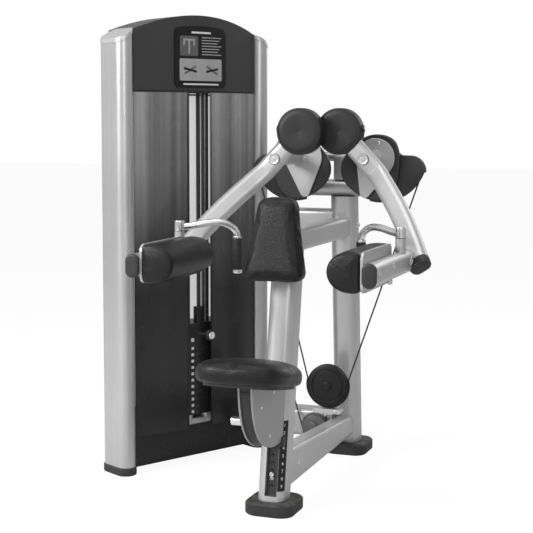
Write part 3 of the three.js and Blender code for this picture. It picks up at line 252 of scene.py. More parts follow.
# %% Grain
tree, given, out = new_group(
    "pebble_grain", {"Pebbles": 700.0, "Ground": 120.0, "Share": 0.6}, {"Height": NUMBER})
cells = put(tree, "ShaderNodeTexVoronoi", {
    "Vector": own_place(tree), "Scale": given["Pebbles"]}, feature="SMOOTH_F1").outputs[0]
part = maths(tree, "MULTIPLY", remap(tree, cells, 0.1, 0.6, 1.0, 0.0), given["Share"])
ground = noise(tree, own_place(tree), given["Ground"], Detail=4.0)
join(tree, out, {"Height": maths(tree, "ADD", part, ground)})
pebble_grain = tree
print(pebble_grain.name, "ready")

# %% [markdown]
# Streaks: polished tube, extruded columns and glossy panels show fine lines along their length.
# Noise stretched along Z gives them, and the stretch and the scale differ from finish to finish.

# %% Streaks
tree, given, out = new_group("upright_streaks", {"Across": 60.0, "Along": 0.6}, {"Mask": NUMBER})
stretch = put(tree, "ShaderNodeCombineXYZ", {
    0: given["Across"], 1: given["Across"], 2: given["Along"]}).outputs[0]
pulled = maths(tree, "MULTIPLY", own_place(tree), stretch, "ShaderNodeVectorMath")
join(tree, out, {"Mask": remap(tree, noise(tree, pulled, 1.0, Detail=3.0), 0.3, 0.7)})
upright_streaks = tree
print(upright_streaks.name, "ready")

# %% [markdown]
# One helper writes a material: it places tone drift, worn edges, dust and grain, and leaves the
# Principled shader in the material itself. Numbers that are the same all over the surface go
# straight on the shader's sockets.

# %% A helper for finishes
DUST_TONE = (0.33, 0.32, 0.30, 1)
LEAST_ROUGH, COAT_ROUGH, STREAK_SHARE, GRAIN_RISE = 0.03, 0.1, 0.7, 0.001


def new_material(name):
    material = bpy.data.materials.new(name)
    material.use_nodes = True
    return material, material.node_tree, material.node_tree.nodes["Principled BSDF"]


def bumped(tree, height, normal, strength, rise):
    return put(tree, "ShaderNodeBump", {
        "Height": height, "Normal": normal, "Strength": strength, "Distance": rise}).outputs[0]


def finish(name, tone, rough, metal=0.0, drift=0.12, clouds=6.0, specks=300.0, edge=0.0015,
           wear_tone=None, wear=0.5, dust=0.15, grain=None, streaks=None, swing=0.12, coat=0.0,
           shine=0.5, glow=0.0):
    """A material. Grain is (pebbles, ground, share, bump) and streaks (across, along, depth)."""
    material, tree, shader = new_material(name)
    drifted = use(tree, tone_drift, Colour=grey(tone), Amount=drift, Clouds=clouds, Specks=specks)
    surface = drifted["Colour"]
    if streaks:
        lines = use(tree, upright_streaks, Across=streaks[0], Along=streaks[1])["Mask"]
        share = remap(tree, lines, 0.0, 1.0, 0.0, STREAK_SHARE)
        surface = mixed(tree, share, surface, grey(tone * (1 - streaks[2])))
    edges = use(tree, worn_edges, Radius=edge, Strength=wear)
    if wear_tone:
        surface = mixed(tree, edges["Mask"], surface, grey(wear_tone))
    surface = mixed(tree, use(tree, settled_dust, Amount=dust)["Mask"], surface, DUST_TONE)
    normal = edges["Normal"]
    if grain:
        pebbles, ground, share, bump = grain
        height = use(tree, pebble_grain, Pebbles=pebbles, Ground=ground, Share=share)["Height"]
        normal = bumped(tree, height, normal, bump, GRAIN_RISE)
    least, most = max(rough - swing, LEAST_ROUGH), min(rough + swing, 1)
    join(tree, shader, {
        "Base Color": surface, "Normal": normal, "Metallic": metal, "Specular IOR Level": shine,
        "Roughness": remap(tree, drifted["Mask"], 0.0, 1.0, least, most)})
    if coat:
        join(tree, shader, {"Coat Weight": coat, "Coat Roughness": COAT_ROUGH})
    if glow:
        join(tree, shader, {"Emission Color": surface, "Emission Strength": glow})
    return material


print("finishes can be made")

# %% [markdown]
# The painted frame is a silver powder coat: part metallic, with fine flake, a slightly orange
# peel skin and edges that have rubbed brighter. The seat's side plates get a darker copy of it,
# which is painted shade, and the tower's columns show the lines of their extrusion. Bare metal is
# chrome on the handles and the lock lever, dark steel on the guide rods and satin steel on the screws.

# %% Silver paints and bare metal
silver_paint = finish(
    "silver_paint", 0.50, 0.38, metal=0.55, drift=0.07, clouds=5, specks=900, wear_tone=0.72,
    dust=0.10, grain=(900, 220, 0.5, 0.06), swing=0.07)
# A darker copy of the silver paint: painted shade on the seat's side plates.
shaded_cheek_paint = finish(
    "shaded_cheek_paint", 0.30, 0.42, metal=0.5, drift=0.08, specks=900, wear_tone=0.60, dust=0.06,
    grain=(900, 220, 0.5, 0.06), swing=0.07)
column_paint = finish(
    "column_paint", 0.50, 0.36, metal=0.6, drift=0.06, clouds=4, specks=900, wear_tone=0.70,
    wear=0.4, dust=0.08, streaks=(140, 1.5, 0.10), grain=(1100, 260, 0.4, 0.04), swing=0.05)
bright_chrome = finish(
    "bright_chrome", 0.80, 0.16, metal=1.0, drift=0.05, clouds=9, specks=500, wear=0.0, dust=0.06,
    streaks=(220, 2.0, 0.12), swing=0.07)
handle_chrome = finish(
    "handle_chrome", 0.74, 0.27, metal=1.0, drift=0.05, clouds=12, specks=600, wear=0.0,
    dust=0.05, grain=(1600, 320, 0.3, 0.03), swing=0.06)
rod_steel = finish(
    "rod_steel", 0.16, 0.30, metal=0.8, drift=0.04, clouds=9, specks=500, wear=0.0, dust=0.05,
    streaks=(260, 1.2, 0.10), swing=0.06)
satin_steel = finish(
    "satin_steel", 0.62, 0.30, metal=1.0, drift=0.10, clouds=30, specks=900, wear=0.0, dust=0.08,
    grain=(1500, 300, 0.3, 0.05), swing=0.08)
print("silver paints and metals ready")

# %% [markdown]
# The dark finishes differ by gloss and grain. Moulded plastic has a fine spark pattern, cast
# rubber is dull with a soft pebble, iron plates are enamelled, and the glossy panels are nearly
# mirror smooth with a haze of dust near the floor. Labels and the sign's pieces are printed.

# %% Dark finishes, and the printed ones
charcoal_plastic = finish(
    "charcoal_plastic", 0.030, 0.48, drift=0.15, clouds=10, wear_tone=0.09, dust=0.10,
    grain=(1300, 300, 0.6, 0.10), edge=0.002)
cover_plastic = finish(
    "cover_plastic", 0.016, 0.52, drift=0.20, clouds=12, wear_tone=0.06, dust=0.07,
    grain=(1000, 260, 0.7, 0.14), edge=0.0025)
disc_rubber = finish(
    "disc_rubber", 0.013, 0.48, drift=0.22, clouds=14, wear_tone=0.05, dust=0.06,
    grain=(1200, 300, 0.6, 0.12), edge=0.0018, shine=0.36)
black_gloss = finish(
    "black_gloss", 0.008, 0.26, drift=0.18, clouds=8, wear_tone=0.04, wear=0.4, dust=0.04,
    coat=0.08, edge=0.001, shine=0.28)
foot_rubber = finish(
    "foot_rubber", 0.020, 0.62, drift=0.25, clouds=18, wear_tone=0.08, wear=0.8, dust=0.25,
    grain=(800, 150, 0.8, 0.22), edge=0.003)
grip_rubber = finish(
    "grip_rubber", 0.014, 0.60, drift=0.22, clouds=25, wear_tone=0.05, dust=0.05,
    grain=(1400, 400, 0.8, 0.20), edge=0.0005)
black_vinyl = finish(
    "black_vinyl", 0.0055, 0.36, drift=0.18, clouds=16, specks=500, wear_tone=0.018, dust=0.01,
    grain=(430, 120, 0.9, 0.55), edge=0.002, swing=0.07, shine=0.30)
black_iron = finish(
    "black_iron", 0.016, 0.42, drift=0.25, clouds=20, wear_tone=0.14, wear=0.9, dust=0.20,
    grain=(700, 90, 0.4, 0.18))
cable_jacket = finish(
    "cable_jacket", 0.012, 0.35, drift=0.2, clouds=40, wear=0.0, dust=0.04,
    grain=(1800, 500, 0.6, 0.12), edge=0.0003)
wheel_black = finish(
    "wheel_black", 0.006, 0.42, drift=0.2, clouds=14, wear_tone=0.016, wear=0.4, dust=0.02,
    grain=(1200, 300, 0.6, 0.12), edge=0.0018, shine=0.3)
wheel_grey = finish(
    "wheel_grey", 0.085, 0.45, drift=0.14, clouds=20, wear_tone=0.35, dust=0.10,
    grain=(1200, 260, 0.5, 0.10))
# A pale liner with a painted glow: it shines, though it is no lamp.
liner_painted_glow = finish(
    "liner_painted_glow", 0.80, 0.45, drift=0.05, clouds=5, wear=0.0, dust=0.0, edge=0.0005, glow=0.62)
marker_white = finish(
    "marker_white", 0.72, 0.5, drift=0.06, clouds=40, wear=0.0, dust=0.12, edge=0.0002)
sign_black = finish(
    "sign_black", 0.004, 0.22, drift=0.2, clouds=20, wear=0.0, dust=0.0, edge=0.0008, shine=0.3)
sign_light = finish(
    "sign_light", 0.36, 0.35, drift=0.10, clouds=30, wear=0.0, dust=0.04, edge=0.0002)
sign_grey = finish(
    "sign_grey", 0.10, 0.40, drift=0.18, clouds=30, wear=0.0, dust=0.05, edge=0.0002)
print("dark and printed finishes ready")

# %% [markdown]
# The tower's front panels are tinted plastic. A painted reflection of the room fades down them:
# the tone is a gradient along Z from a smoky grey at the top to nearly black, with tall streaks,
# of which the broad ones are painted reflection too.

# %% Smoky panel
# The gradient along Z and the broad streaks are painted reflection on the panels' own dark tint.
PANEL_LOW, PANEL_HIGH, PANEL_RISE = 0.45, 1.40, 0.004
PANEL_REFLECTION_ENDS, PANEL_REFLECTION_TONES = (0.0085, 0.27), ((0.22, 0.013), (0.45, 0.065), (0.7, 0.20))
BROAD_REFLECTION_LINES, FINE_LINES = (10.0, 0.2, 0.25, 0.75, 0.5, 1.4), (70.0, 0.8, 0.0, 1.0, 0.97, 1.03)
smoky_panel, tree, shader = new_material("smoky_panel")
height = put(tree, "ShaderNodeSeparateXYZ", {0: own_place(tree)}).outputs[2]
ramp = put(tree, "ShaderNodeValToRGB", {0: remap(tree, height, PANEL_LOW, PANEL_HIGH)})
stops = ramp.color_ramp.elements
for end, tone in enumerate(PANEL_REFLECTION_ENDS):
    stops[end].color = grey(tone)
for position, tone in PANEL_REFLECTION_TONES:
    stops.new(position).color = grey(tone)
surface = ramp.outputs[0]
for across_it, along_it, *limits in (BROAD_REFLECTION_LINES, FINE_LINES):
    lines = use(tree, upright_streaks, Across=across_it, Along=along_it)["Mask"]
    surface = scaled(tree, surface, remap(tree, lines, *limits))
drifted = use(tree, tone_drift, Colour=surface, Amount=0.05, Clouds=9.0)
dust = use(tree, settled_dust, Amount=0.2)["Mask"]
ground = use(tree, pebble_grain, Pebbles=40.0, Ground=6.0, Share=0.1)["Height"]
normal = use(tree, worn_edges, Radius=0.001)["Normal"]
join(tree, shader, {
    "Base Color": mixed(tree, dust, drifted["Colour"], DUST_TONE),
    "Roughness": remap(tree, drifted["Mask"], 0, 1, 0.17, 0.30),
    "Normal": bumped(tree, ground, normal, 0.03, PANEL_RISE)})
print(smoky_panel.name, "ready")

# %% [markdown]
# CAD solids arrive as loose triangles. A small geometry node group welds them and marks only the
# steep edges as sharp, and weighted normals keep the flats flat beside their rounded corners.
# Both are modifiers, so the CAD meshes themselves stay as they are.

# %% Smooth the CAD nodes
SHARP, WELD, FLAT_WEIGHT = math.radians(32), 0.00002, 60
smoother = bpy.data.node_groups.new("weld_and_smooth", "GeometryNodeTree")
for way in ("INPUT", "OUTPUT"):
    smoother.interface.new_socket(name="Geometry", in_out=way, socket_type="NodeSocketGeometry")
given, out = smoother.nodes.new("NodeGroupInput"), smoother.nodes.new("NodeGroupOutput")
weld = put(smoother, "GeometryNodeMergeByDistance", {"Geometry": given.outputs[0], "Distance": WELD})
faces = put(smoother, "GeometryNodeSetShadeSmooth", {"Geometry": weld.outputs[0]}, domain="FACE")
angle = put(smoother, "GeometryNodeInputMeshEdgeAngle").outputs[0]
edges = put(smoother, "GeometryNodeSetShadeSmooth", {
    "Geometry": faces.outputs[0], "Shade Smooth": maths(smoother, "LESS_THAN", angle, SHARP),
}, domain="EDGE")
join(smoother, out, {0: edges.outputs[0]})

CAD_FINISHES = [
    (silver_paint, "front_post rear_post low_beam top_beam low_cross_beam top_cross_beam "
     "pivot_crossmember post_top_block arm_left arm_right pad_beam_left pad_beam_right "
     "pulley_bracket base_beam top_rail belt_stand transfer_stand"),
    (shaded_cheek_paint, "seat_cheek_left seat_cheek_right"),
    (column_paint, "column_left column_right"),
    (rod_steel, "guide_rod_left guide_rod_right"),
    (charcoal_plastic, "head_housing"),
    (smoky_panel, "shroud_left shroud_right"),
    (black_gloss, "kick_panel"),
    (sign_black, "placard"),
    (cover_plastic, "seat_board seat_carriage rear_shroud"),
    (foot_rubber, "front_foot rear_foot column_foot_left column_foot_right"),
    (black_iron, "weight_plates top_plate"),
    (wheel_grey, "belt_pulley transfer_pulley"),
]
for coat, names in CAD_FINISHES:
    for name in names.split():
        node = nodes[name]
        node.data.materials.clear()
        node.data.materials.append(coat)
        if "custom_normal" in node.data.attributes:
            node.data.attributes.remove(node.data.attributes["custom_normal"])
        node.modifiers.new("smooth", "NODES").node_group = smoother
        weighted = node.modifiers.new("weighted", "WEIGHTED_NORMAL")
        weighted.keep_sharp, weighted.weight = True, FLAT_WEIGHT
print("finished", sum(len(names.split()) for coat, names in CAD_FINISHES), "CAD nodes")

# %% [markdown]
# New pieces are made from rings of points. One helper joins neighbouring rings into a closed skin,
# which suits turned, bent and moulded parts alike, and another makes the piece and hangs it on its
# CAD body.

# %% From rings to a piece
def skin(rings, loop=False):
    """Points and faces of a closed skin through rings that have equally many points."""
    count, last = len(rings[0]), len(rings) - 1
    faces = []
    for r in range(len(rings) if loop else last):
        step = count if r < last else -r * count
        for k in range(count):
            a, b = r * count + k, r * count + (k + 1) % count
            faces.append((a, b, b + step, a + step))
    if not loop:
        faces.append(tuple(range(count - 1, -1, -1)))
        faces.append(tuple(range(last * count, (last + 1) * count)))
    return [p for ring in rings for p in ring], faces


def link_piece(name, mesh, material):
    mesh.materials.clear()
    mesh.materials.append(material)
    piece = bpy.data.objects.new(name, mesh)
    scene.collection.objects.link(piece)
    return piece


def make(name, made, material, body=None, replaces=(), sharp=32):
    points, faces = made
    mesh = bpy.data.meshes.new(name)
    mesh.from_pydata([tuple(p) for p in points], [], faces)
    form = bmesh.new()
    form.from_mesh(mesh)
    bmesh.ops.recalc_face_normals(form, faces=form.faces)
    form.to_mesh(mesh)
    form.free()
    mesh.polygons.foreach_set("use_smooth", [True] * len(mesh.polygons))
    mesh.set_sharp_from_angle(angle=math.radians(sharp))
    piece = link_piece(name, mesh, material)
    if body:
        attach(piece, body)
    if replaces:
        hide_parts(*replaces)
    return piece


print("rings can be made into pieces")

# %% [markdown]
# The rings come from a few shapes that are also the ways in which such parts are made. A lathe
# turns a profile, a tube is bent along a path, and a plate is cut from an outline.

# %% Lathes, tubes and plates
LEAST_RADIUS, MOST_REACH, BEVEL_ANGLE = 0.02, 0.45, math.radians(30)


def across(axis):
    """Two directions square to an axis."""
    axis = Vector(axis).normalized()
    first = (AHEAD if abs(axis.y) < 0.9 else UP).cross(axis).normalized()
    return first, axis.cross(first)


def circle(centre, first, second, radius, count):
    turns = [2 * math.pi * k / count for k in range(count)]
    return [centre + first * radius * math.cos(t) + second * radius * math.sin(t) for t in turns]


def turned(profile, centre, axis, steps, loop=False):
    """A lathe: profile is (radius, place along the axis). A loop leaves an open bore."""
    axis = Vector(axis).normalized()
    first, second = across(axis)
    return skin([
        circle(centre + axis * along * MM, first, second, max(radius, LEAST_RADIUS) * MM, steps)
        for radius, along in profile], loop)


def curved(start, corner, end, steps):
    """Points from start to end, on a curve that the corner pulls on."""
    shares = [s / steps for s in range(steps + 1)]
    return [start * (1 - t) ** 2 + corner * 2 * t * (1 - t) + end * t * t for t in shares]


def rounded(profile, size, steps=3):
    """Rounds the inner corners of a profile by a radius."""
    points = [Vector(q) for q in profile]
    result = [profile[0]]
    for before, corner, after in zip(points, points[1:], points[2:]):
        back, on = before - corner, after - corner
        reach = min(size, back.length * MOST_REACH, on.length * MOST_REACH)
        start, end = corner + back.normalized() * reach, corner + on.normalized() * reach
        result += [tuple(p) for p in curved(start, corner, end, steps)]
    return [*result, profile[-1]]


def tube(path, radius, sides, loop=False):
    """A round tube through points, which may form a closed ring."""
    rings, first, last = [], None, len(path) - 1
    for i, point in enumerate(path):
        before = path[i - 1] if i or loop else point
        after = path[i + 1] if i < last else (path[0] if loop else point)
        along = (after - before).normalized()
        first = across(along)[0] if first is None else first
        first = (first - along * first.dot(along)).normalized()
        rings.append(circle(point, first, along.cross(first), radius * MM, sides))
    return skin(rings, loop)


def flowing(points, per):
    """A smooth curve through points (Catmull-Rom), with so many steps between two of them."""
    ends = [points[0] * 2 - points[1], *points, points[-1] * 2 - points[-2]]
    path = []
    for i in range(1, len(ends) - 2):
        p0, p1, p2, p3 = ends[i - 1:i + 3]
        for s in range(per):
            t = s / per
            path.append(0.5 * (
                p1 * 2 + (p2 - p0) * t + (p0 * 2 - p1 * 5 + p2 * 4 - p3) * t * t
                + (p1 * 3 - p0 - p2 * 3 + p3) * t ** 3
            ))
    path.append(points[-1])
    return path


def plate(outline, thickness, place):
    """An outline of (x, z) with thickness along the third number, through a function of place."""
    return skin([[place(x, d, z) for x, z in outline] for d in (0, thickness)])


def round_edges(piece, width, segments=3):
    bevel = piece.modifiers.new("rounded", "BEVEL")
    bevel.width, bevel.segments = width * MM, segments
    bevel.limit_method, bevel.angle_limit = "ANGLE", BEVEL_ANGLE
    bevel.harden_normals = False


def soften(corners, rounds):
    """Cuts the corners of a closed outline again and again until it is smooth."""
    for _ in range(rounds):
        cut = []
        for (x, z), (nx, nz) in zip(corners, corners[1:] + corners[:1]):
            cut += [(x * near + nx * (1 - near), z * near + nz * (1 - near)) for near in (0.75, 0.25)]
        corners = cut
    return corners


def surface_of(mesh):
    """A mesh that can be asked for the nearest place, or for where a ray meets it."""
    faces = [tuple(p.vertices) for p in mesh.polygons]
    return BVHTree.FromPolygons([v.co for v in mesh.vertices], faces)


print("lathes, tubes and plates ready")

# %% [markdown]
# Bolts and screws hold everything together. Each is turned: a low dome with a recess for the key,
# and a dark plug at the recess's floor. They sit on the face that carries them.

# %% Bolts
def bolt(name, place, out, radius, body, material=satin_steel, rise=0.35):
    height = radius * rise
    dome = [(radius, -1.0), (radius, height * 0.35), (radius * 0.82, height * 0.8),
            (radius * 0.5, height), (radius * 0.42, height), (radius * 0.40, height * 0.2),
            (0, height * 0.2)]
    return make(name, turned(rounded(dome, radius * 0.12, 2), place, out, 24), material, body)


print("bolts can be made")

# %% [markdown]
# The counterweight discs are the machine's face. Each is a thick rubber coated puck with a soft
# rim, a hairline ring near the edge of its front and a small dimple at the centre, and a cheek
# with its locking screw stands on the outer side.

# %% Counterweight discs
PIVOT_X, PIVOT_Z = 159, 1172
ARM_MEAN_Y, ARM_STAGGER = 488, 65
DISC_RADIUS, DISC_HALF, DISC_X, DISC_Z = 85, 31, 65, 1272
LUG_TILT, LUG_IN, LUG_HIGH = 0.12, 6, 12.6


def arm_y(side):
    return ARM_MEAN_Y + side * ARM_STAGGER / 2


for side, label in SIDES:
    body = "arm_" + label
    centre = spot(side * DISC_X, arm_y(side), DISC_Z)
    face = [(radius, along - DISC_HALF) for radius, along in (
        (0, 1.6), (2.0, 1.4), (2.6, 0.2), (4, -0.1), (60, 0.4), (77.4, 0.8), (78.2, 1.7),
        (79.0, 0.9), (81, 1.5), (DISC_RADIUS - 1.2, 3.6), (DISC_RADIUS, 7.5))]
    face += [(DISC_RADIUS - less, DISC_HALF - back) for less, back in ((0, 7), (2, 2), (7, 0))]
    make("disc_" + label, turned([*face, (0, DISC_HALF)], centre, AHEAD, 96), disc_rubber, body,
         ["counterweight_" + label], sharp=50)
    out = Vector((side * math.cos(LUG_TILT), 0, math.sin(LUG_TILT)))
    lug_place = centre + out * (DISC_RADIUS - LUG_IN) * MM
    lug = rounded([(15.5, -2), (15.5, 9), (13, 12.5), (0, 13)], 3)
    make("disc_lug_" + label, turned(lug, lug_place, out, 40), disc_rubber, body)
    bolt("disc_lug_screw_" + label, lug_place + out * LUG_HIGH * MM, out, 5.5, body)
print("discs at", [round(v, 3) for v in centre])

# %% [markdown]
# The arms are bent rectangular tube with generous corners. Their ends are closed by black plastic
# caps, and a painted plug with a raised rim covers each pivot. The caps follow the tube's own
# section, so the arm's path is laid out here again, from the same sizes as in the drawing.

# %% Arm path and end caps
ARM_STRAIGHT, ARM_END, ARM_BOW, ARM_STEPS, ARM_TAIL = 62, (436, 222, 838), 14, 7, 26
ARM_WIDTH, ARM_DEPTH, ARM_CORNER = 74, 52, 24


def arm_path(side):
    y = arm_y(side)
    pivot = Vector((side * PIVOT_X, y, PIVOT_Z))
    top = Vector((side * DISC_X, y, DISC_Z))
    end = Vector((side * ARM_END[0], ARM_END[1], ARM_END[2]))
    down = (pivot - top).normalized()
    knee = pivot + down * ARM_STRAIGHT
    path = [top, pivot - down * ARM_STRAIGHT / 2, knee]
    for i in range(1, ARM_STEPS + 1):
        share = i / ARM_STEPS
        point = knee.lerp(end, share)
        point.x += side * ARM_BOW * math.sin(math.pi * share)
        path.append(point)
    last = (path[-1] - path[-2]).normalized()
    path.append(path[-1] + last * ARM_TAIL)
    return path


def tube_section(width, depth, corner, steps=8):
    """The outline of a rectangular tube with round corners."""
    outline = []
    for quarter, (sx, sy) in enumerate(((1, 1), (-1, 1), (-1, -1), (1, -1))):
        for s in range(steps + 1):
            turn = math.pi / 2 * (quarter + s / steps)
            outline.append((sx * (width / 2 - corner) + corner * math.cos(turn),
                            sy * (depth / 2 - corner) + corner * math.sin(turn)))
    return outline


def section_ring(place, along, outline):
    deep = (AHEAD - along * along.y).normalized()
    wide = deep.cross(along)
    return [station_origin + (place + wide * p + deep * q) * MM for p, q in outline]


for side, label in SIDES:
    body = "arm_" + label
    path = arm_path(side)
    end, along = path[-1], (path[-1] - path[-2]).normalized()
    stops = [(-27, -2), (-27, 1.0), (-3, 1.2), (2.5, -1.5), (5.5, -7), (6.4, -16)]
    rings = [
        section_ring(end + along * step, along, tube_section(
            ARM_WIDTH + 2 * grow, ARM_DEPTH + 2 * grow, max(ARM_CORNER + grow, 6)))
        for step, grow in stops
    ]
    make("arm_end_cap_" + label, skin(rings), cover_plastic, body)
    front = spot(side * PIVOT_X, arm_y(side) - ARM_DEPTH / 2 - 3, PIVOT_Z)
    cap = [(20.5, 3), (20.3, -0.6), (18.6, -1.8), (17.4, -1.2), (16.8, -0.7), (9, -1.5), (0, -1.9)]
    make("pivot_plug_" + label, turned(cap, front, AHEAD, 56), silver_paint, body,
         sharp=60)
    seam = [(21.6, 3.2), (21.4, 2.2), (20.4, 2.0)]
    make("pivot_plug_seam_" + label, turned(seam, front, AHEAD, 56), cover_plastic, body)
print("arm ends at", [round(v) for v in end])

# %% [markdown]
# Behind each arm a teardrop plate is keyed to the shaft, and bolts tie it to the cable cam. It is
# laser cut and powder coated, so it has crisp but broken edges. The outline is the hull of two
# circles, drawn finely here, with the hub and the shaft turned in one piece through it.

# %% Teardrop plates with hubs
PLATE_Y, PLATE_THICK, PLATE_R, TIP_R, TIP_REACH, TIP_TILT = 655, 8, 74, 19, 138, 0.3
PLATE_SHIFT, BARREL_REAR, HUB_R, SHAFT_R, COLLAR_R, COLLAR_LONG = 34, 832, 27, 16, 25, 8.3
COVER_Y = PLATE_Y + PLATE_THICK + 0.3
PLATE_BOLTS = {-1: [(-164, 1142), (-122, 1166)], 1: [(171, 1228), (163, 1189)]}


def hull_of_circles(x0, z0, r0, x1, z1, r1, steps=28):
    turn = math.atan2(z1 - z0, x1 - x0)
    lean = math.acos((r0 - r1) / math.hypot(x1 - x0, z1 - z0))
    outline = []
    for x, z, radius, start, sweep in ((x0, z0, r0, turn + lean, 2 * math.pi - 2 * lean),
                                       (x1, z1, r1, turn - lean, 2 * lean)):
        turns = [start + sweep * i / steps for i in range(steps + 1)]
        outline += [(x + radius * math.cos(a), z + radius * math.sin(a)) for a in turns]
    return outline


for side, label in SIDES:
    body = "arm_" + label
    tilt = TIP_TILT * side
    outline = hull_of_circles(PLATE_SHIFT if side < 0 else 0, 0, PLATE_R,
                              -math.sin(tilt) * TIP_REACH, -math.cos(tilt) * TIP_REACH, TIP_R)
    made = plate(outline, PLATE_THICK, lambda x, d, z: spot(
        side * PIVOT_X + x, PLATE_Y + d, PIVOT_Z + z))
    round_edges(make("teardrop_plate_" + label, made, silver_paint, body,
                     ["cam_plate_" + label]), 1.4)
    hub_front, hub_rear = arm_y(side) + ARM_DEPTH / 2 + 0.3, BARREL_REAR + COLLAR_LONG
    hub = rounded([
        (0, hub_front), (HUB_R, hub_front), (HUB_R, PLATE_Y - 6), (33, PLATE_Y + 4),
        (SHAFT_R, PLATE_Y + 4), (SHAFT_R, BARREL_REAR + 0.3), (COLLAR_R, BARREL_REAR + 0.3),
        (COLLAR_R, hub_rear), (0, hub_rear)], 2)
    make("pivot_shaft_" + label, turned(hub, spot(side * PIVOT_X, 0, PIVOT_Z), AHEAD, 56),
         silver_paint, body)
    bolt("shaft_bolt_" + label, spot(side * PIVOT_X, hub_rear, PIVOT_Z), AHEAD, 10, body)
    for n, (x, z) in enumerate(PLATE_BOLTS[side]):
        bolt(f"plate_bolt_{label}_{n + 1}", spot(x, PLATE_Y, z), FORWARD, 8, body)
print("teardrop outline has", len(outline), "points")

# %% [markdown]
# The cable cam is hidden by a broad black cover with soft corners. Cam and cover are moulded, and
# the cable lies in a groove between two flanges whose radius falls from the lip downwards, which
# makes the load feel even. They are rings of one outline, so the groove is real. The lip's outer
# corner is an arc from its flat top round to the rim.

# %% Cable cams and their covers
CAM_LAYERS, CAM_STEPS, COVER_THICK = (10, 12, 10), 48, 24
CAM_Y = COVER_Y + COVER_THICK
CAM_R, CAM_LOW_R, CAM_GROOVE, CAM_LIP, CAM_LOW_ANGLE = 186, 166, 9, 9, 1.75
LIP_ANGLE = math.asin(CAM_LIP / CAM_R)
GROOVE_Y = CAM_Y + CAM_LAYERS[0] + CAM_LAYERS[1] / 2
COVER_CORNERS = [(-138, -88), (-45, -160), (45, -160), (90, -88), (90, 44), (45, 88), (-45, 88),
                 (-138, 0)]
LIP_ROUND, LIP_ROUND_ANGLE = 58, -0.28
LIP_CENTRE = (CAM_R - LIP_ROUND - 5, CAM_LIP - LIP_ROUND)


def cam_rim(angle, drop):
    share = (LIP_ANGLE - angle) / (LIP_ANGLE + CAM_LOW_ANGLE)
    return CAM_R - drop - share * (CAM_R - CAM_LOW_R)


def lip_arc(drop):
    turns = [math.pi / 2 - (math.pi / 2 + 0.06) * i / 10 for i in range(11)]
    return [(LIP_CENTRE[0] + (LIP_ROUND - drop) * math.cos(t),
             LIP_CENTRE[1] + (LIP_ROUND - drop) * math.sin(t)) for t in turns]


def cam_outline(side, drop):
    outline = [(0, 40), (45, 40), (68, 27), (90, CAM_LIP + 1), *lip_arc(drop)]
    for i in range(1, CAM_STEPS + 1):
        angle = LIP_ROUND_ANGLE - i / CAM_STEPS * (LIP_ROUND_ANGLE + CAM_LOW_ANGLE)
        radius = cam_rim(angle, drop)
        outline.append((radius * math.cos(angle), radius * math.sin(angle)))
    return [(side * x, z) for x, z in [*outline, (-40, 0)]]


for side, label in SIDES:
    body = "arm_" + label
    corners = soften([(side * x, z) for x, z in COVER_CORNERS], 4)
    made = plate(corners, COVER_THICK, lambda x, d, z: spot(
        side * PIVOT_X + x, COVER_Y + d, PIVOT_Z + z))
    round_edges(make("cam_cover_" + label, made, cover_plastic, body,
                     ["cable_cam_" + label], sharp=40), 6, 4)
    rings = [[spot(side * PIVOT_X + x, CAM_Y + depth, PIVOT_Z + z)
              for x, z in cam_outline(side, drop)] for drop, depth in (
        (4, 0), (0, 2), (0, 8.5), (7, 10.5), (CAM_GROOVE, 13), (CAM_GROOVE, 19), (7, 21.5),
        (0, 23.5), (0, 30), (4, 32))]
    make("cam_" + label, skin(rings), cover_plastic, body, sharp=40)
print("groove plane at", GROOVE_Y)

# %% [markdown]
# The pads are foam on boards under vinyl. Each starts as a slightly small lofted form, is remeshed
# to an even skin, and a short cloth simulation with a little pressure swells it so that it crowns
# and its edges pull in. The swelling is capped, so that the pad stays in its own space.

# %% How a pad is swelled
SWELL_VOXEL, SWELL_FRAMES, SWELL_PRESSURE, SWELL_QUALITY = 0.005, 20, 4.0, 4
SMOOTH_BY, SMOOTH_BEFORE, SMOOTH_AFTER = 0.5, 6, 3


def applied(piece, kind, **settings):
    """Adds a modifier, sets it, applies it."""
    modifier = piece.modifiers.new(kind.lower(), kind)
    for key, value in settings.items():
        setattr(modifier, key, value)
    bpy.ops.object.modifier_apply(modifier=modifier.name)


def puff(piece, cap):
    """Blows a pad up softly as cloth, and never moves a point by more than the cap."""
    rest = [v.co.copy() for v in piece.data.vertices]
    cloth = piece.modifiers.new("cloth", "CLOTH")
    cloth.settings.use_pressure = True
    cloth.settings.uniform_pressure_force = SWELL_PRESSURE
    cloth.settings.effector_weights.gravity = 0
    cloth.settings.quality = SWELL_QUALITY
    cloth.point_cache.frame_start, cloth.point_cache.frame_end = 1, SWELL_FRAMES
    for number in range(1, SWELL_FRAMES + 1):
        scene.frame_set(number)
    bpy.ops.object.modifier_apply(modifier=cloth.name)
    scene.frame_set(1)
    for vertex, start in zip(piece.data.vertices, rest):
        move = vertex.co - start
        if move.length > cap * MM:
            vertex.co = start + move.normalized() * cap * MM
    piece.data.update()
    applied(piece, "SMOOTH", factor=SMOOTH_BY, iterations=SMOOTH_AFTER)


def swelled(name, rings, cap):
    """A pad in vinyl: remeshed, blown up and divided once."""
    piece = make(name, skin(rings), black_vinyl, None)
    for other in bpy.context.selected_objects:
        other.select_set(False)
    bpy.context.view_layer.objects.active = piece
    piece.select_set(True)
    applied(piece, "REMESH", mode="VOXEL", voxel_size=SWELL_VOXEL)
    applied(piece, "SMOOTH", factor=SMOOTH_BY, iterations=SMOOTH_BEFORE)
    puff(piece, cap)
    applied(piece, "SUBSURF", levels=1, render_levels=1)
    piece.data.polygons.foreach_set("use_smooth", [True] * len(piece.data.polygons))
    piece.data.update()
    return piece


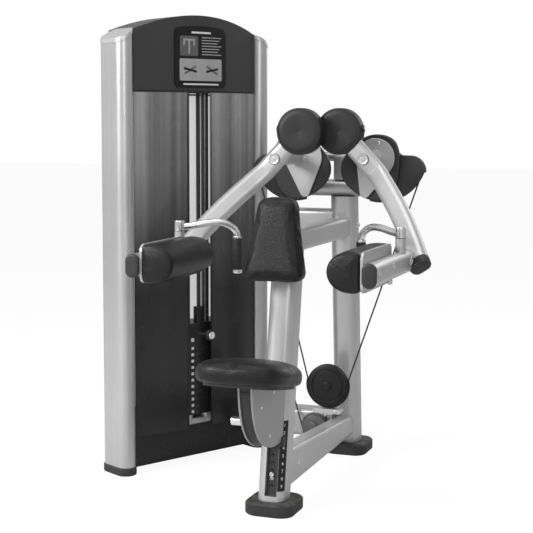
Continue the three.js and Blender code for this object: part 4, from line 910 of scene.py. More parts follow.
def laid_on(piece, path, lift):
    """The points of a path moved to the nearest place on a piece, then lifted."""
    tree = surface_of(piece.data)
    laid = []
    for point in path:
        place, normal = tree.find_nearest(point)[:2]
        laid.append(place + normal * lift * MM)
    return laid


print("pads can be swelled")

# %% [markdown]
# The arm pads are D-shaped rolls. The user's upper arm presses on the round side, and a flat back
# is screwed to a silver plate. Their front end is a sewn in panel, so a seam runs round it.

# %% Arm pads
BEAM_X, BEAM_Z, BEAM_WIDTH, BEAM_HEIGHT, BEAM_FRONT = 399, 842, 45, 76, -250
BACKING, PAD_HEIGHT, PAD_DEEP, PAD_Z, PAD_FRONT = 8, 137, 112, 848, -254
PAD_FLAT, FLAT_GAP, PAD_STEPS, PAD_ROUND, PAD_SHRINK, PAD_SWELL = 14, 0.6, 28, 0.8, 2.6, 3.6


def pad_ring(side, y, inset):
    flat = side * (BEAM_X - BEAM_WIDTH / 2 - BACKING - FLAT_GAP)
    half, deep = PAD_HEIGHT / 2 - inset, PAD_DEEP - inset
    ring = []
    for i in range(PAD_STEPS + 1):
        angle = -math.pi / 2 + math.pi * i / PAD_STEPS
        round_part = max(math.cos(angle), 0) ** PAD_ROUND
        ring.append(spot(flat - side * (PAD_FLAT + (deep - PAD_FLAT) * round_part), y,
                         PAD_Z + half * math.sin(angle)))
    return ring + [spot(flat, y, PAD_Z + (half - 1.5) * (1 - i / 2)) for i in range(5)]


for side, label in SIDES:
    body = "arm_" + label
    stops = [(PAD_FRONT - 1, 12), (PAD_FRONT + 1, 6), (PAD_FRONT + 6, 2.4), (PAD_FRONT + 14, 1.0),
             (-60, 0.6), (80, 1.6), (112, 5), (124, 11), (130, 19)]
    rings = [pad_ring(side, y, inset + PAD_SHRINK) for y, inset in stops]
    pad = swelled("arm_pad_" + label + "_vinyl", rings, PAD_SWELL)
    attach(pad, body)
    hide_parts("arm_pad_" + label)
    for name, y, inset, lift, radius in (("seam_", PAD_FRONT + 13, 0, -0.1, 1.1),
                                         ("rear_seam_", 108, 4, -0.2, 1.0)):
        arc = flowing(pad_ring(side, y, inset)[:PAD_STEPS + 1], 3)
        make("arm_pad_" + name + label, tube(laid_on(pad, arc, lift), radius, 8), black_vinyl, body)
    button = laid_on(pad, [spot(side * (BEAM_X - 88), PAD_FRONT - 20, PAD_Z)], -1.2)[0]
    dimple = [(3.4, -1), (3.2, 0.9), (1.2, 1.2), (0, 0.5)]
    make("arm_pad_dimple_" + label, turned(dimple, button, FORWARD, 20), cover_plastic, body)
print("arm pads", len(pad.data.vertices), "points each")

# %% [markdown]
# The pad beams are painted tube with oval plugs, and screws through their outer face hold the
# backing plates. The round boss near the arm is where the beam is clamped to it.

# %% Beam plugs and screws
for side, label in SIDES:
    body = "arm_" + label
    rings = [[spot(side * BEAM_X + x, BEAM_FRONT + y, BEAM_Z + z) for x, z in tube_section(
        BEAM_WIDTH + 2 * grow, BEAM_HEIGHT + 2 * grow, BEAM_WIDTH / 2 + grow - 1)] for y, grow in (
        (3, -2), (3, 0.6), (-3, 1.4), (-7.5, 0.4), (-9.6, -3.5), (-10.2, -9))]
    make("beam_plug_" + label, skin(rings), cover_plastic, body)
    out = RIGHT * side
    face = side * (BEAM_X + BEAM_WIDTH / 2)
    for n, (y, z, size) in enumerate(((-212, 846, 10), (-48, 852, 10), (178, 846, 15))):
        bolt(f"beam_screw_{label}_{n + 1}", spot(face, y, z), out, size, body, silver_paint, 0.28)
    fitting = rounded([(7.5, 4), (7.5, -8), (5.5, -12), (0, -12.5)], 1.5)
    make("beam_fitting_" + label, turned(fitting, spot(face - side * 12, -48, BEAM_Z - 38), UP, 24),
         satin_steel, body)
print("beam plugs at Y", BEAM_FRONT)

# %% [markdown]
# The chest pad is a tapered panel with soft corners. It is thick foam, so its front is gently
# crowned, and a welted seam runs round a little behind the front edge.

# %% Chest pad
LEAN, FOOT_TOP = 0.17, 45
CHEST_LOW, CHEST_HIGH, CHEST_FRONT = 776, 1060, -40
CHEST_WIDE, CHEST_NARROW, CHEST_CORNER = 228, 134, 34
CHEST_SHRINK, CHEST_SWELL = 3, 4.5


def front_y(z):
    """How far back the leaning post's front is at a height."""
    return LEAN * (z - FOOT_TOP)


def chest_outline(inset):
    low, high = CHEST_LOW + inset, CHEST_HIGH - inset
    wide, narrow = CHEST_WIDE / 2 - inset, CHEST_NARROW / 2 - inset
    corners = [Vector(c) for c in ((wide, low), (narrow, high), (-narrow, high), (-wide, low))]
    size = max(CHEST_CORNER - inset * 0.35, 8)
    outline = []
    for i, corner in enumerate(corners):
        before, after = corners[i - 1], corners[(i + 1) % 4]
        start = corner + (before - corner).normalized() * size
        end = corner + (after - corner).normalized() * size
        far = after + (corner - after).normalized() * size
        outline += curved(start, corner, end, 7) + [end.lerp(far, s / 6) for s in range(1, 6)]
    return outline


def chest_ring(inset, back):
    return [spot(x, CHEST_FRONT + back + LEAN * (z - CHEST_LOW), z) for x, z in chest_outline(inset)]


stops = [(52, -3.5), (34, -3), (18, -1.5), (8, 2), (3, 8), (1, 16), (0.5, 40), (2, 58), (6, 68),
         (12, 72)]
rings = [chest_ring(inset + CHEST_SHRINK, back + 1.5) for inset, back in stops]
chest = swelled("chest_pad_vinyl", rings, CHEST_SWELL)
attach(chest, "frame")
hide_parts("chest_pad")
for name, inset, back, lift, radius in (("seam", 0, 15, 0.0, 1.3), ("rear_seam", 2, 57, -0.2, 1.1)):
    welt = laid_on(chest, chest_ring(inset, back), lift)
    make("chest_pad_" + name, tube(welt, radius, 8, loop=True), black_vinyl, "frame")
print("chest pad", len(chest.data.vertices), "points")

# %% [markdown]
# The seat is a rounded tablet of firm foam on a board. It lies square to the leaning post, so it
# falls away towards the chest pad. Its top is crowned for the thighs and the sides roll under.
# Outside the board's outline the underside hangs a little lower, which hides the board's edge.

# %% Seat cushion
SEAT_Y, SEAT_WIDE, SEAT_LONG, SEAT_LOW, SEAT_CORNER = -232, 318, 336, 482, 105
SEAT_POWER = 2 / (2 + 2 * (SEAT_LONG - SEAT_CORNER) / SEAT_LONG)
SEAT_SHRINK, SEAT_SWELL, BOARD_INSET, LIP_DROP = 3, 4.5, 24, 9.5


def seat_ring(inset, z, steps=72):
    ring = []
    for i in range(steps):
        turn = 2 * math.pi * i / steps
        c, s = math.cos(turn), math.sin(turn)
        x = math.copysign(abs(c) ** SEAT_POWER, c) * (SEAT_WIDE / 2 - inset)
        y = math.copysign(abs(s) ** SEAT_POWER, s) * (SEAT_LONG / 2 - inset)
        ring.append(spot(x, SEAT_Y + y, z - LEAN * y))
    return ring


stops = [(60, 0), (25, 0), (21, -6), (15, -8), (8, -6), (3, 1), (0.5, 12), (0, 23), (2, 35), (9, 46),
         (20, 54), (38, 61), (64, 67), (100, 71)]
rings = [seat_ring(inset + SEAT_SHRINK, SEAT_LOW + 1.5 + rise) for inset, rise in stops]
cushion = swelled("seat_cushion_vinyl", rings, SEAT_SWELL)
seat_middle = spot(0, SEAT_Y, SEAT_LOW + 0.2)
for vertex in cushion.data.vertices:
    along = vertex.co - seat_middle
    round_x = abs(along.x) / ((SEAT_WIDE / 2 - BOARD_INSET) * MM)
    round_y = abs(along.y) / ((SEAT_LONG / 2 - BOARD_INSET) * MM)
    over_board = round_x ** (2 / SEAT_POWER) + round_y ** (2 / SEAT_POWER) <= 1
    floor_z = seat_middle.z - LEAN * along.y - (0 if over_board else LIP_DROP * MM)
    vertex.co.z = max(vertex.co.z, floor_z)
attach(cushion, "seat")
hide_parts("seat_cushion")
for name, rise in (("low", 9), ("high", 38)):
    seam = laid_on(cushion, seat_ring(4, SEAT_LOW + rise, 120), -0.2)
    make("seat_seam_" + name, tube(seam, 1.1, 8, loop=True), black_vinyl, "seat")
print("seat cushion", len(cushion.data.vertices), "points")

# %% [markdown]
# The seat's side plates carry screw heads, and a black pointer reaches over to the number scale.
# The roller is the end of the lock lever: a turned, bright sleeve with a black collar.

# %% Seat screws, pointer and lock lever
CHEEK_OUT = {-1: -8, 1: 41}
POINTER_Y, POINTER_Z = -68.6, 248
LEVER_X, LEVER_R, LEVER_Y, LEVER_Z, LEVER_PIVOT = -8.3, 14.5, -100, 322, (-70, 337)
for side, label in SIDES:
    for n, (y, z) in enumerate(((-227, 404), (-154, 296), (-118, 432))):
        bolt(f"cheek_screw_{label}_{n + 1}", spot(CHEEK_OUT[side], y, z), RIGHT * side, 6.5, "seat")

rings = []
for x, grow in ((26.5, -2.5), (28.5, 0), (46, 0), (48.5, -2.5)):
    ring = []
    for p, q in tube_section(34, 26, 7, 5):
        z = POINTER_Z + p * (1 + grow / 18)
        ring.append(spot(x, POINTER_Y + front_y(z) + q * (1 + grow / 14), z))
    rings.append(ring)
make("seat_pointer", skin(rings), cover_plastic, "seat")

lever_place = spot(LEVER_X, LEVER_Y, LEVER_Z)
roller = rounded([(0, -105), (12.6, -105), (LEVER_R, -103), (LEVER_R, -37), (13.6, -35.5),
                  (0, -35.5)], 1.2)
make("lever_roller", turned(roller, lever_place, RIGHT, 48), bright_chrome, "seat_lever",
     ["seat_lever"])
collar = rounded([(0, -36), (15.2, -36), (16.0, -33), (16.0, -10), (14, -5.8), (0, -5.8)], 1)
make("lever_collar", turned(collar, lever_place, RIGHT, 48), cover_plastic, "seat_lever")
link = hull_of_circles(LEVER_Y, LEVER_Z, LEVER_R, *LEVER_PIVOT, LEVER_R, 20)
link_made = skin([[spot(x, y, z) for y, z in link] for x in (LEVER_X - 6, LEVER_X)])
round_edges(make("lever_link", link_made, satin_steel, "seat_lever"), 1)
bolt("lever_pivot_screw", spot(LEVER_X - 6, *LEVER_PIVOT), -RIGHT, 8, "seat_lever")
print("lever at", LEVER_Z)

# %% [markdown]
# The scale beside the recess is a black strip with white numbers that say how high the seat is.
# The numbers are plain text turned into thin meshes and bent round the strip.

# %% Scale numbers
STRIP_CENTRE, STRIP_R, STRIP_TURN = (12.5, -20), 37.15, -math.pi / 2 + 0.79
STRIP_EDGE, STRIP_SWEEP, STRIP_THICK = -math.pi / 2 + 0.4, 0.78, 1.2
SCALE_LOW, SCALE_HIGH, DIGITS, DIGIT_SIZE = 84, 308, 9, 15.0


def on_strip(turn, z):
    return spot(STRIP_CENTRE[0] + STRIP_R * math.cos(turn),
                STRIP_CENTRE[1] + STRIP_R * math.sin(turn) + front_y(z), z)


def digit(text, z):
    curve = bpy.data.curves.new("digit", "FONT")
    curve.body, curve.size, curve.align_x, curve.align_y = text, DIGIT_SIZE, "CENTER", "CENTER"
    curve.extrude = 0.25
    holder = bpy.data.objects.new("digit", curve)
    scene.collection.objects.link(holder)
    bpy.context.view_layer.update()
    ready = holder.evaluated_get(bpy.context.evaluated_depsgraph_get())
    mesh = bpy.data.meshes.new_from_object(ready)
    bpy.data.objects.remove(holder)
    for vertex in mesh.vertices:
        x, y, rise = vertex.co
        turn = STRIP_TURN + x / STRIP_R
        place = on_strip(turn, z + y)
        vertex.co = place + Vector((math.cos(turn), math.sin(turn), 0)) * (rise + 0.1) * MM
    piece = link_piece("scale_digit_" + text, mesh, marker_white)
    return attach(piece, "frame")


rings = []
inward = Vector((math.cos(STRIP_TURN), math.sin(STRIP_TURN), 0)) * STRIP_THICK * MM
for z, narrow in ((80.6, 0.05), (82, 0), (310, 0), (311.4, 0.05)):
    ring = [on_strip(STRIP_EDGE + narrow + (STRIP_SWEEP - 2 * narrow) * k / 12, z) for k in range(13)]
    rings.append(ring + [p - inward for p in ring[::-1]])
make("scale_strip", skin(rings), black_gloss, "frame")
for n in range(DIGITS):
    digit(str(n + 1), SCALE_HIGH - (n + 0.5) / DIGITS * (SCALE_HIGH - SCALE_LOW))
print("digits 1 to", DIGITS)

# %% [markdown]
# Beside the numbers the post has a long recess. It is lined in black, with a row of lock holes, a
# rim round its edge and a bright stop screw low down. They are separate pieces because the real
# ones are: a bent liner pushed into the tube, and a screw that keeps the seat on the post.

# %% Recess lining and stop
RECESS_X, RECESS_BACK, LINING_THICK, HOLE_X = (-14, 20), -45, 0.9, 3
HOLE_LOW, HOLE_STEP, BRIGHT_HOLE, STOP_Z = 96, 25, 1, 134
BEZEL_OUT, BEZEL_IN, BEZEL_FACE = (-16, 25), (-13.5, 19.5), -55
lining = [[spot(x, RECESS_BACK - d + front_y(z), z) for x in (RECESS_X[0] + 0.3, RECESS_X[1] - 0.3)
           for d in ((0, LINING_THICK) if x < 0 else (LINING_THICK, 0))] for z in (66.6, 319.4)]
make("recess_lining", skin(lining), cover_plastic, "frame")
for n in range(DIGITS):
    z = HOLE_LOW + n * HOLE_STEP
    hole = [(6.6, -0.5), (6.6, 0.9), (5.0, 1.1), (4.4, 0.3), (0, 0.1)]
    place = spot(HOLE_X, RECESS_BACK - LINING_THICK + front_y(z), z)
    make(f"lock_hole_{n + 1}", turned(hole, place, FORWARD, 24),
         satin_steel if n == BRIGHT_HOLE else black_gloss, "frame")
for n, (z0, z1, x0, x1) in enumerate((
        (64, 67, *BEZEL_OUT), (319, 322, *BEZEL_OUT), (66, 320, BEZEL_OUT[0], BEZEL_IN[0]),
        (66, 320, BEZEL_IN[1], BEZEL_OUT[1]))):
    rings = [[spot(x, BEZEL_FACE + d + front_y(z), z) for x, d in (
        (x0, -0.8), (x1, -0.8), (x1, 1.0), (x0, 1.0))] for z in (z0, z1)]
    make(f"recess_bezel_{n + 1}", skin(rings), cover_plastic, "frame")
stop = rounded([(9, -1), (9, 4), (7.6, 7.5), (3, 8), (2.6, 5.5), (0, 5.5)], 1)
place = spot(HOLE_X + 1, RECESS_BACK - 1 + front_y(STOP_Z), STOP_Z)
make("recess_stop", turned(stop, place, FORWARD, 32), satin_steel, "frame")
print("recess lined")

# %% [markdown]
# The handles are bent chrome bar. Each leaves its swivel sleeve at the side, arches over the pad
# and turns down into a rubber grip, which has moulded rings and a bright end. A smooth path with
# many points gives the bend its even radius.

# %% Handles and grips
SLEEVE_Y, SLEEVE_R, SLEEVE_TOP, HANDLE_Z, HANDLE_REACH = 120, 17.5, 926, 945, 208
HANDLE_TURN, HANDLE_R, GRIP_R, GRIP_TOP, GRIP_LONG = 0.61, 12.5, 17, 896, 112
BEND_ACROSS, BEND_DROP, BAR_LOW, CAP_TOP = 80, 53, 800, 962.5
GRIP_RINGS, RING_STEP, RING_DEEP, GRIP_LOW = 17, 5.8, 1.0, GRIP_TOP - GRIP_LONG
for side, label in SIDES:
    body = "handle_" + label
    post = Vector((side * BEAM_X, SLEEVE_Y, HANDLE_Z))
    way = Vector((-side * math.cos(HANDLE_TURN), math.sin(HANDLE_TURN), 0))
    grip_axis = post + way * HANDLE_REACH
    bends = [(0, -5), (24, -4), (55, 0), (92, 6)]
    bends += [(HANDLE_REACH - BEND_ACROSS * (1 - math.sin(t)), 8 - BEND_DROP * (1 - math.cos(t)))
              for t in (math.pi / 2 * k / 7 for k in range(8))]
    path = [post + way * along + UP * rise for along, rise in bends]
    path += [grip_axis - UP * (HANDLE_Z - GRIP_TOP + 12), grip_axis - UP * (HANDLE_Z - BAR_LOW)]
    path = [station_origin + p * MM for p in flowing(path, 6)]
    make("handle_bar_" + label, tube(path, HANDLE_R, 24), handle_chrome, body,
         ["handle_" + label])
    sleeve, axis = spot(side * BEAM_X, SLEEVE_Y, 0), spot(grip_axis.x, grip_axis.y, 0)
    cap_z = SLEEVE_TOP + 0.3
    cap = [(0, cap_z), (SLEEVE_R, cap_z), (SLEEVE_R, 961), (16, CAP_TOP), (0, CAP_TOP)]
    make("handle_cap_" + label, turned(rounded(cap, 1), sleeve, UP, 48), handle_chrome, body)
    edge = [(SLEEVE_R + 0.7, cap_z - 0.8), (SLEEVE_R + 0.7, cap_z + 0.6), (SLEEVE_R - 1, cap_z + 0.6)]
    make("handle_seat_ring_" + label, turned(edge, sleeve, UP, 48), cover_plastic, body)
    profile = [(13.4, GRIP_LOW + 0.4), (16.4, GRIP_LOW + 0.4), (GRIP_R, GRIP_LOW + 2.5)]
    for n in range(GRIP_RINGS):
        z = GRIP_LOW + 8 + n * RING_STEP
        profile += [(GRIP_R, z), (GRIP_R - RING_DEEP, z + 1.0), (GRIP_R - RING_DEEP, z + 1.9),
                    (GRIP_R, z + 2.9)]
    profile += [(GRIP_R, GRIP_TOP - 2.5), (16.4, GRIP_TOP - 0.4), (13.4, GRIP_TOP - 0.4)]
    make("grip_rubber_" + label, turned(profile, axis, UP, 40), grip_rubber, body,
         ["grip_" + label])
    end = [(0, -14), (14.5, -14), (GRIP_R, -11.5), (GRIP_R, 0), (0, 0)]
    collar = [(0, 0), (16.6, 0), (16.6, 6), (13, 7), (0, 7)]
    for name, shape, foot in (("grip_end_", end, GRIP_LOW), ("grip_collar_", collar, GRIP_TOP)):
        made = turned(rounded([(radius, foot + z) for radius, z in shape], 1), axis, UP, 40)
        make(name + label, made, handle_chrome, body)
print("grip axis", [round(v) for v in grip_axis])

# %% [markdown]
# The hanging pulley shares the pull between both arms. It is a moulded wheel with a ring line and
# a small dot on its face, a deep groove for the cable, and a silver bracket behind it. The low
# pulley under it leads the lift cable away. Both wheels are lathed with an open bore.

# %% Pulleys
FLOAT_X, FLOAT_Y, FLOAT_Z, FLOAT_R, FLOAT_HALF = -26, 668, 297, 82, 15
LOW_X, LOW_Y, LOW_Z, LOW_R = -95, 707, 128, 48
BALL_X, BALL_Z = FLOAT_X - 10, 186
wheel = [
    (8.4, -FLOAT_HALF), (56, -FLOAT_HALF - 0.3), (58, -FLOAT_HALF), (60, -FLOAT_HALF + 2.2),
    (62.4, -FLOAT_HALF), (76, -FLOAT_HALF + 0.8), (80.5, -FLOAT_HALF + 3), (FLOAT_R, -8.5),
    (FLOAT_R, -4.6), (75, -2.2), (73, 0), (75, 2.2), (FLOAT_R, 4.6), (FLOAT_R, 9), (80, 13.5),
    (76, FLOAT_HALF), (8.4, FLOAT_HALF),
]
low_wheel = [(7.4, -12), (38, -12), (40, -10.8), (42, -12), (46.5, -12), (LOW_R, -10.5),
             (LOW_R, -3.6), (42.5, 0), (LOW_R, 3.6), (LOW_R, 10.5), (46.5, 12), (7.4, 12)]
float_centre, low_centre = spot(FLOAT_X, FLOAT_Y, FLOAT_Z), spot(LOW_X, LOW_Y, LOW_Z)
make("hanging_wheel", turned(wheel, float_centre, AHEAD, 96, loop=True), wheel_black,
     "hanging_pulley", ["hanging_pulley"], sharp=40)
cap = rounded([(0, -20.4), (1.8, -20.6), (2.4, -21.2), (13, -21.0), (17.2, -19.4), (17.8, -15.4),
               (0, -15.4)], 0.6)
make("hanging_wheel_cap", turned(cap, float_centre, AHEAD, 40), wheel_black, "pulley_bracket")
ball = rounded([(0, -11), (5.5, -10.5), (8.6, -7), (9.2, -3), (9.2, 3), (6, 6.5), (4.2, 7.5),
                (4.2, 19), (0, 19)], 2)
make("cable_end_ball", turned(ball, spot(BALL_X, FLOAT_Y, BALL_Z), UP, 28), satin_steel,
     "pulley_bracket")
bolt("bracket_bolt", spot(FLOAT_X + 34, FLOAT_Y - 15, 198), FORWARD, 7, "pulley_bracket")
make("low_wheel", turned(low_wheel, low_centre, AHEAD, 64, loop=True), wheel_grey, "low_pulley",
     ["low_pulley"], sharp=40)
low_cap = rounded([(0, -20.4), (12, -20.2), (15.2, -18.4), (15.4, -12.6), (0, -12.6)], 1)
make("low_wheel_cap", turned(low_cap, low_centre, AHEAD, 40), wheel_grey, "frame")
print("pulleys at", FLOAT_Z, "and", LOW_Z)

# %% [markdown]
# The cables are steel rope in a black jacket. They are held taut, so their route is straight runs
# and arcs round the pulleys, and each is a fixed length that the weights keep tight. The arm cable
# hangs from both cams, carries the pulley and runs under its wheel.

# %% The arm cable
CABLE_R, CABLE_GAP = 3.0, 0.3
CABLE_LEAVE, FLOAT_LEAVE = 0.3, 0.28


def arc_points(x, y, z, radius, start, end, count):
    turns = [start + (end - start) * i / count for i in range(count + 1)]
    return [spot(x + radius * math.cos(t), y, z + radius * math.sin(t)) for t in turns]


def straight(a, b, count):
    return [a.lerp(b, i / count) for i in range(1, count)]


def length_of(path):
    return round(sum((b - a).length for a, b in zip(path, path[1:])), 3)


def cam_run(side):
    places = lip_arc(CAM_GROOVE - CABLE_R - CABLE_GAP)[3:]
    for i in range(1, 3):
        angle = LIP_ROUND_ANGLE - (CABLE_LEAVE + LIP_ROUND_ANGLE) * i / 2
        radius = cam_rim(angle, CAM_GROOVE) + CABLE_R + CABLE_GAP
        places.append((radius * math.cos(angle), radius * math.sin(angle)))
    return [spot(side * (PIVOT_X + x), GROOVE_Y, PIVOT_Z + z) for x, z in places]


right_run, left_run = cam_run(1), cam_run(-1)
under = arc_points(FLOAT_X, FLOAT_Y, FLOAT_Z, FLOAT_R + CABLE_R + CABLE_GAP, FLOAT_LEAVE,
                   -math.pi - FLOAT_LEAVE, 40)
route = [*right_run, *straight(right_run[-1], under[0], 24), *under,
         *straight(under[-1], left_run[-1], 24), *left_run[::-1]]
arm_cable = make("arm_cable_jacket", tube(route, CABLE_R, 10), cable_jacket, None,
                 ["arm_cable"])
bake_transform(arm_cable)
print("arm cable", length_of(route), "m")

# %% [markdown]
# A second cable bends twice on its way past the tower's right column. A cable can't turn in mid
# air, so a small grooved roller on a strut stands in each bend, and the cable follows its tread.

# %% Guide rollers
ROLLER_TREAD, ROLLER_RIM, ROLLER_HALF, AXLE_R, STRUT_R = 13, 18, 8, 4.4, 6


def round_roller(name, before, corner, after, wall):
    """A grooved guide roller in a bend of the cable, its strut, and the cable's arc round it."""
    first, last = (before - corner).normalized(), (after - corner).normalized()
    inward, axle = (first + last).normalized(), first.cross(last).normalized()
    half_turn = math.acos(first.dot(inward))
    reach = (ROLLER_TREAD + CABLE_R) * MM
    centre = corner + inward * (reach / math.sin(half_turn))
    run = [corner + way * (reach / math.tan(half_turn)) - centre for way in (first, last)]
    rim, half = ROLLER_RIM, ROLLER_HALF
    groove = [(4, -half), (rim - 1, -half), (rim, -half + 1), (rim, -4.5), (ROLLER_TREAD, -1.5),
              (ROLLER_TREAD, 1.5), (rim, 4.5), (rim, half - 1), (rim - 1, half), (4, half)]
    make(name, turned(groove, centre, axle, 40, loop=True), wheel_black, "frame")
    near = min((1, -1), key=lambda way: (centre + axle * way * 0.02 - wall).length)
    post = [centre - axle * near * 10 * MM, centre + axle * near * 17 * MM]
    make(name + "_axle", tube(post, AXLE_R, 20), satin_steel, "frame")
    make(name + "_strut", tube([post[1], wall], STRUT_R, 20), silver_paint, "frame")
    return [centre + run[0].lerp(run[1], i / 8).normalized() * reach for i in range(9)]


print("guide rollers can be made")

# %% [markdown]
# The lift cable runs from the hanging pulley's bracket under the low pulley, past the column and
# up behind the stack. It rides the frame. Only its upright drop changes length when the pulley
# rises, so that is a piece of its own.

# %% The lift cable
COLUMN_X, COLUMN_WIDE, COLUMN_DEEP = 324, 70, 150
TRANSFER_AT, TRANSFER_REAR, TRANSFER_R = 214, 104, 42
RAIL_LOW, CABLE_UNDER_RAIL = 1446, 40
start = spot(BALL_X, FLOAT_Y, BALL_Z + 2.7)
wrap = arc_points(LOW_X, LOW_Y, LOW_Z, LOW_R + 2 * CABLE_R, 0, -math.pi + 0.7, 20)
over = tower_spot(COLUMN_X + COLUMN_WIDE * 0.6, -(COLUMN_DEEP + 45), 250)
behind = tower_spot(COLUMN_X + COLUMN_WIDE, (COLUMN_DEEP + 30) / 2, 360)
rear = tower_spot(TRANSFER_AT + TRANSFER_R + CABLE_R + CABLE_GAP, TRANSFER_REAR, 470)
top = rear.copy()
top.z = (RAIL_LOW - CABLE_UNDER_RAIL) * MM
column_front = tower_spot(COLUMN_X + 20, 3 - COLUMN_DEEP / 2, 262)
column_rear = tower_spot(COLUMN_X + 20, COLUMN_DEEP / 2 - 3, 350)
bends = [*round_roller("front_roller", wrap[-1], over, behind, column_front),
         *round_roller("rear_roller", over, behind, rear, column_rear)]
drop = [start, *straight(start, wrap[0], 8), wrap[0]]
lower = [*wrap, *bends, rear, top]
make("lift_cable_jacket", tube(lower, CABLE_R, 10), cable_jacket, "frame",
     ["lift_cable"])
lift_drop = make("lift_cable_drop", tube(drop, CABLE_R, 10), cable_jacket, None)
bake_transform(lift_drop)
print("lift cable", length_of(drop + lower), "m")

# %% [markdown]
# Inside the tower a flat belt comes down from its pulley and lifts the stack. It runs from the
# frame above to the top plate below.

# %% The belt inside the tower
BELT_LEFT, BELT_REAR, BELT_LOW, BELT_TOP, BELT_HALF, BELT_THIN = 25, -33, 596.3, 1540, 11, 1.5
heights = [BELT_LOW + (BELT_TOP - BELT_LOW) * step / 60 for step in range(61)]
strap = [[tower_spot(BELT_LEFT + a * BELT_THIN, BELT_REAR + r * BELT_HALF, z) for a, r in (
    (-1, -1), (1, -1), (1, 1), (-1, 1))] for z in heights]
belt = make("lift_belt_strap", skin(strap), cable_jacket, None, ["lift_belt"])
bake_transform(belt)
print("belt from", 0.596, "to", BELT_TOP * MM)

# %% [markdown]
# On the tower, small parts are put on the CAD surfaces by a ray from outside, so that each sits
# exactly on the bowed panel, whatever its curve. Flat shapes that follow a bowed face are built
# column by column.

# %% Finding places on the tower's faces
RAISED_THICK, CORNER_STEPS, RAY_START = 0.8, 4, 600


def on_tower(tree, along, z, rise=0.0, behind=False):
    """The place on a CAD surface seen from the tower's front, or from behind it."""
    way = -tower_rear if behind else tower_rear
    place = tree.ray_cast(tower_spot(along, RAY_START if behind else -RAY_START, z), way)[0]
    return place - way * rise * MM


def raised(name, tree, columns, rise, material):
    """A thin plate laid on a bowed tower surface, from columns of (along, low, high)."""
    rings = []
    for along, low, high in columns:
        front = [on_tower(tree, along, z, rise) for z in (low, high)]
        rings.append([*front, *[p + tower_rear * RAISED_THICK * MM for p in front[::-1]]])
    return make(name, skin(rings), material, "frame")


def columns_of(left, right, low, high, corner):
    """A rectangle with round corners, as columns that are at most a centimetre apart."""
    columns = []
    for i in range(CORNER_STEPS + 1):
        turn = math.pi / 2 * i / CORNER_STEPS
        drop = corner * (1 - math.sin(turn))
        columns.append((left + corner * (1 - math.cos(turn)), low + drop, high - drop))
    count = max(int((right - left) / 10), 1)
    columns += [(left + corner + (right - left - 2 * corner) * i / count, low, high)
                for i in range(1, count)]
    return columns + [(left + right - x, a, b) for x, a, b in columns[CORNER_STEPS::-1]]


print("surface rays ready")

# %% [markdown]
# The sign on the head is a glossy black plate. Rows of pale bars, a square with a plain lever
# shape and a light inset with two crossed levers are thin raised plates laid on its bowed face,
# which each of them follows column by column.

# %% The sign
SIGN_LOW, SIGN_RISE, SIGN_RISE_HIGH, LINE_STEP, LEVER_HIGH = 1434, 0.5, 0.9, 10.5, 66
sign_tree = surface_of(nodes["placard"].data)
sign_shapes = [
    ("inset", -100, 100, 26, 108, 6, SIGN_RISE, sign_light),
    ("footer", -84, 84, 10, 16, 2, SIGN_RISE, marker_white),
    ("header", -46, 46, 202, 209, 2, SIGN_RISE, marker_white),
]
sign_shapes += [(f"line_{n + 1}", 2, 98 - (n % 3) * 9, 186 - n * LINE_STEP, 189.4 - n * LINE_STEP, 1.2,
                 SIGN_RISE, sign_light) for n in range(7)]
sign_shapes += [("picture", -98, -16, 118, 192, 5, SIGN_RISE, sign_grey)]
sign_shapes += [(f"diagram_{n + 1}", x - w / 2, x + w / 2, z - h / 2, z + h / 2, 2, SIGN_RISE_HIGH,
                 sign_light) for n, (x, z, w, h) in enumerate((
                     (-57, 152, 7, 54), (-57, 178, 52, 7), (-80, 166, 7, 18), (-34, 166, 7, 18)))]
for name, left, right, low, high, corner, rise, material in sign_shapes:
    shape = columns_of(left, right, SIGN_LOW + low, SIGN_LOW + high, corner)
    raised("sign_" + name, sign_tree, shape, rise, material)
lever_z = SIGN_LOW + LEVER_HIGH
for n, (x, flip) in enumerate(((-52, 1), (52, -1))):
    for m, (tilt, material) in enumerate(((0.5, sign_grey), (-0.2, sign_black))):
        c, s = math.cos(tilt), math.sin(tilt)
        shape = [(x + flip * p * c, lever_z + p * s - 4, lever_z + p * s + 4)
                 for p in range(-30, 31, 4)]
        raised(f"sign_lever_{n + 1}_{m + 1}", sign_tree, shape, SIGN_RISE_HIGH + 0.2 * m, material)
print("sign pieces laid")

# %% [markdown]
# The weight plates are read through the slot. Each has a small white tab at its left, and the pin's
# hole shows as a dark dot at the middle. Behind them the back cover's inside is pale, and a weak
# painted glow on it stands for the daylight that it lets through. The pin is chrome in a black knob.

# %% Plate labels and the selector pin
PLATES, PLATE_STEP, STACK_LOW, STACK_FRONT, TAB_AT, HOLE_AT = 11, 24.7, 178, -44, -14, 25
PIN_Z, KNOB_FRONT, KNOB_REAR, KNOB_R = 491.95, 116.3, 90.3, 21


def tab(name, z, width, height, body):
    made = skin([[tower_spot(TAB_AT + x, STACK_FRONT - d, z + q)
                  for x, q in tube_section(width, height, 2, 3)] for d in (-0.2, 0.7)])
    make(name, made, marker_white, body)


def tower_slab(name, half, front, back, low, high, material):
    corners = ((-half, front), (half, front), (half, back), (-half, back))
    return make(name, skin([[tower_spot(a, r, z) for a, r in corners] for z in (low, high)]),
                material, "frame")


for n in range(PLATES):
    z = STACK_LOW + (n + 0.5) * PLATE_STEP
    tab(f"plate_tab_{n + 1}", z, 12, 11, "frame")
    hole = [(7, -0.4), (7, 0.5), (5.4, 0.6), (5.0, -0.1), (0, -0.2)]
    make(f"plate_hole_{n + 1}", turned(hole, tower_spot(HOLE_AT, STACK_FRONT, z), TOWER_OUT, 24),
         black_gloss, "frame")
tab("top_plate_tab", 470, 14, 14, "top_plate")
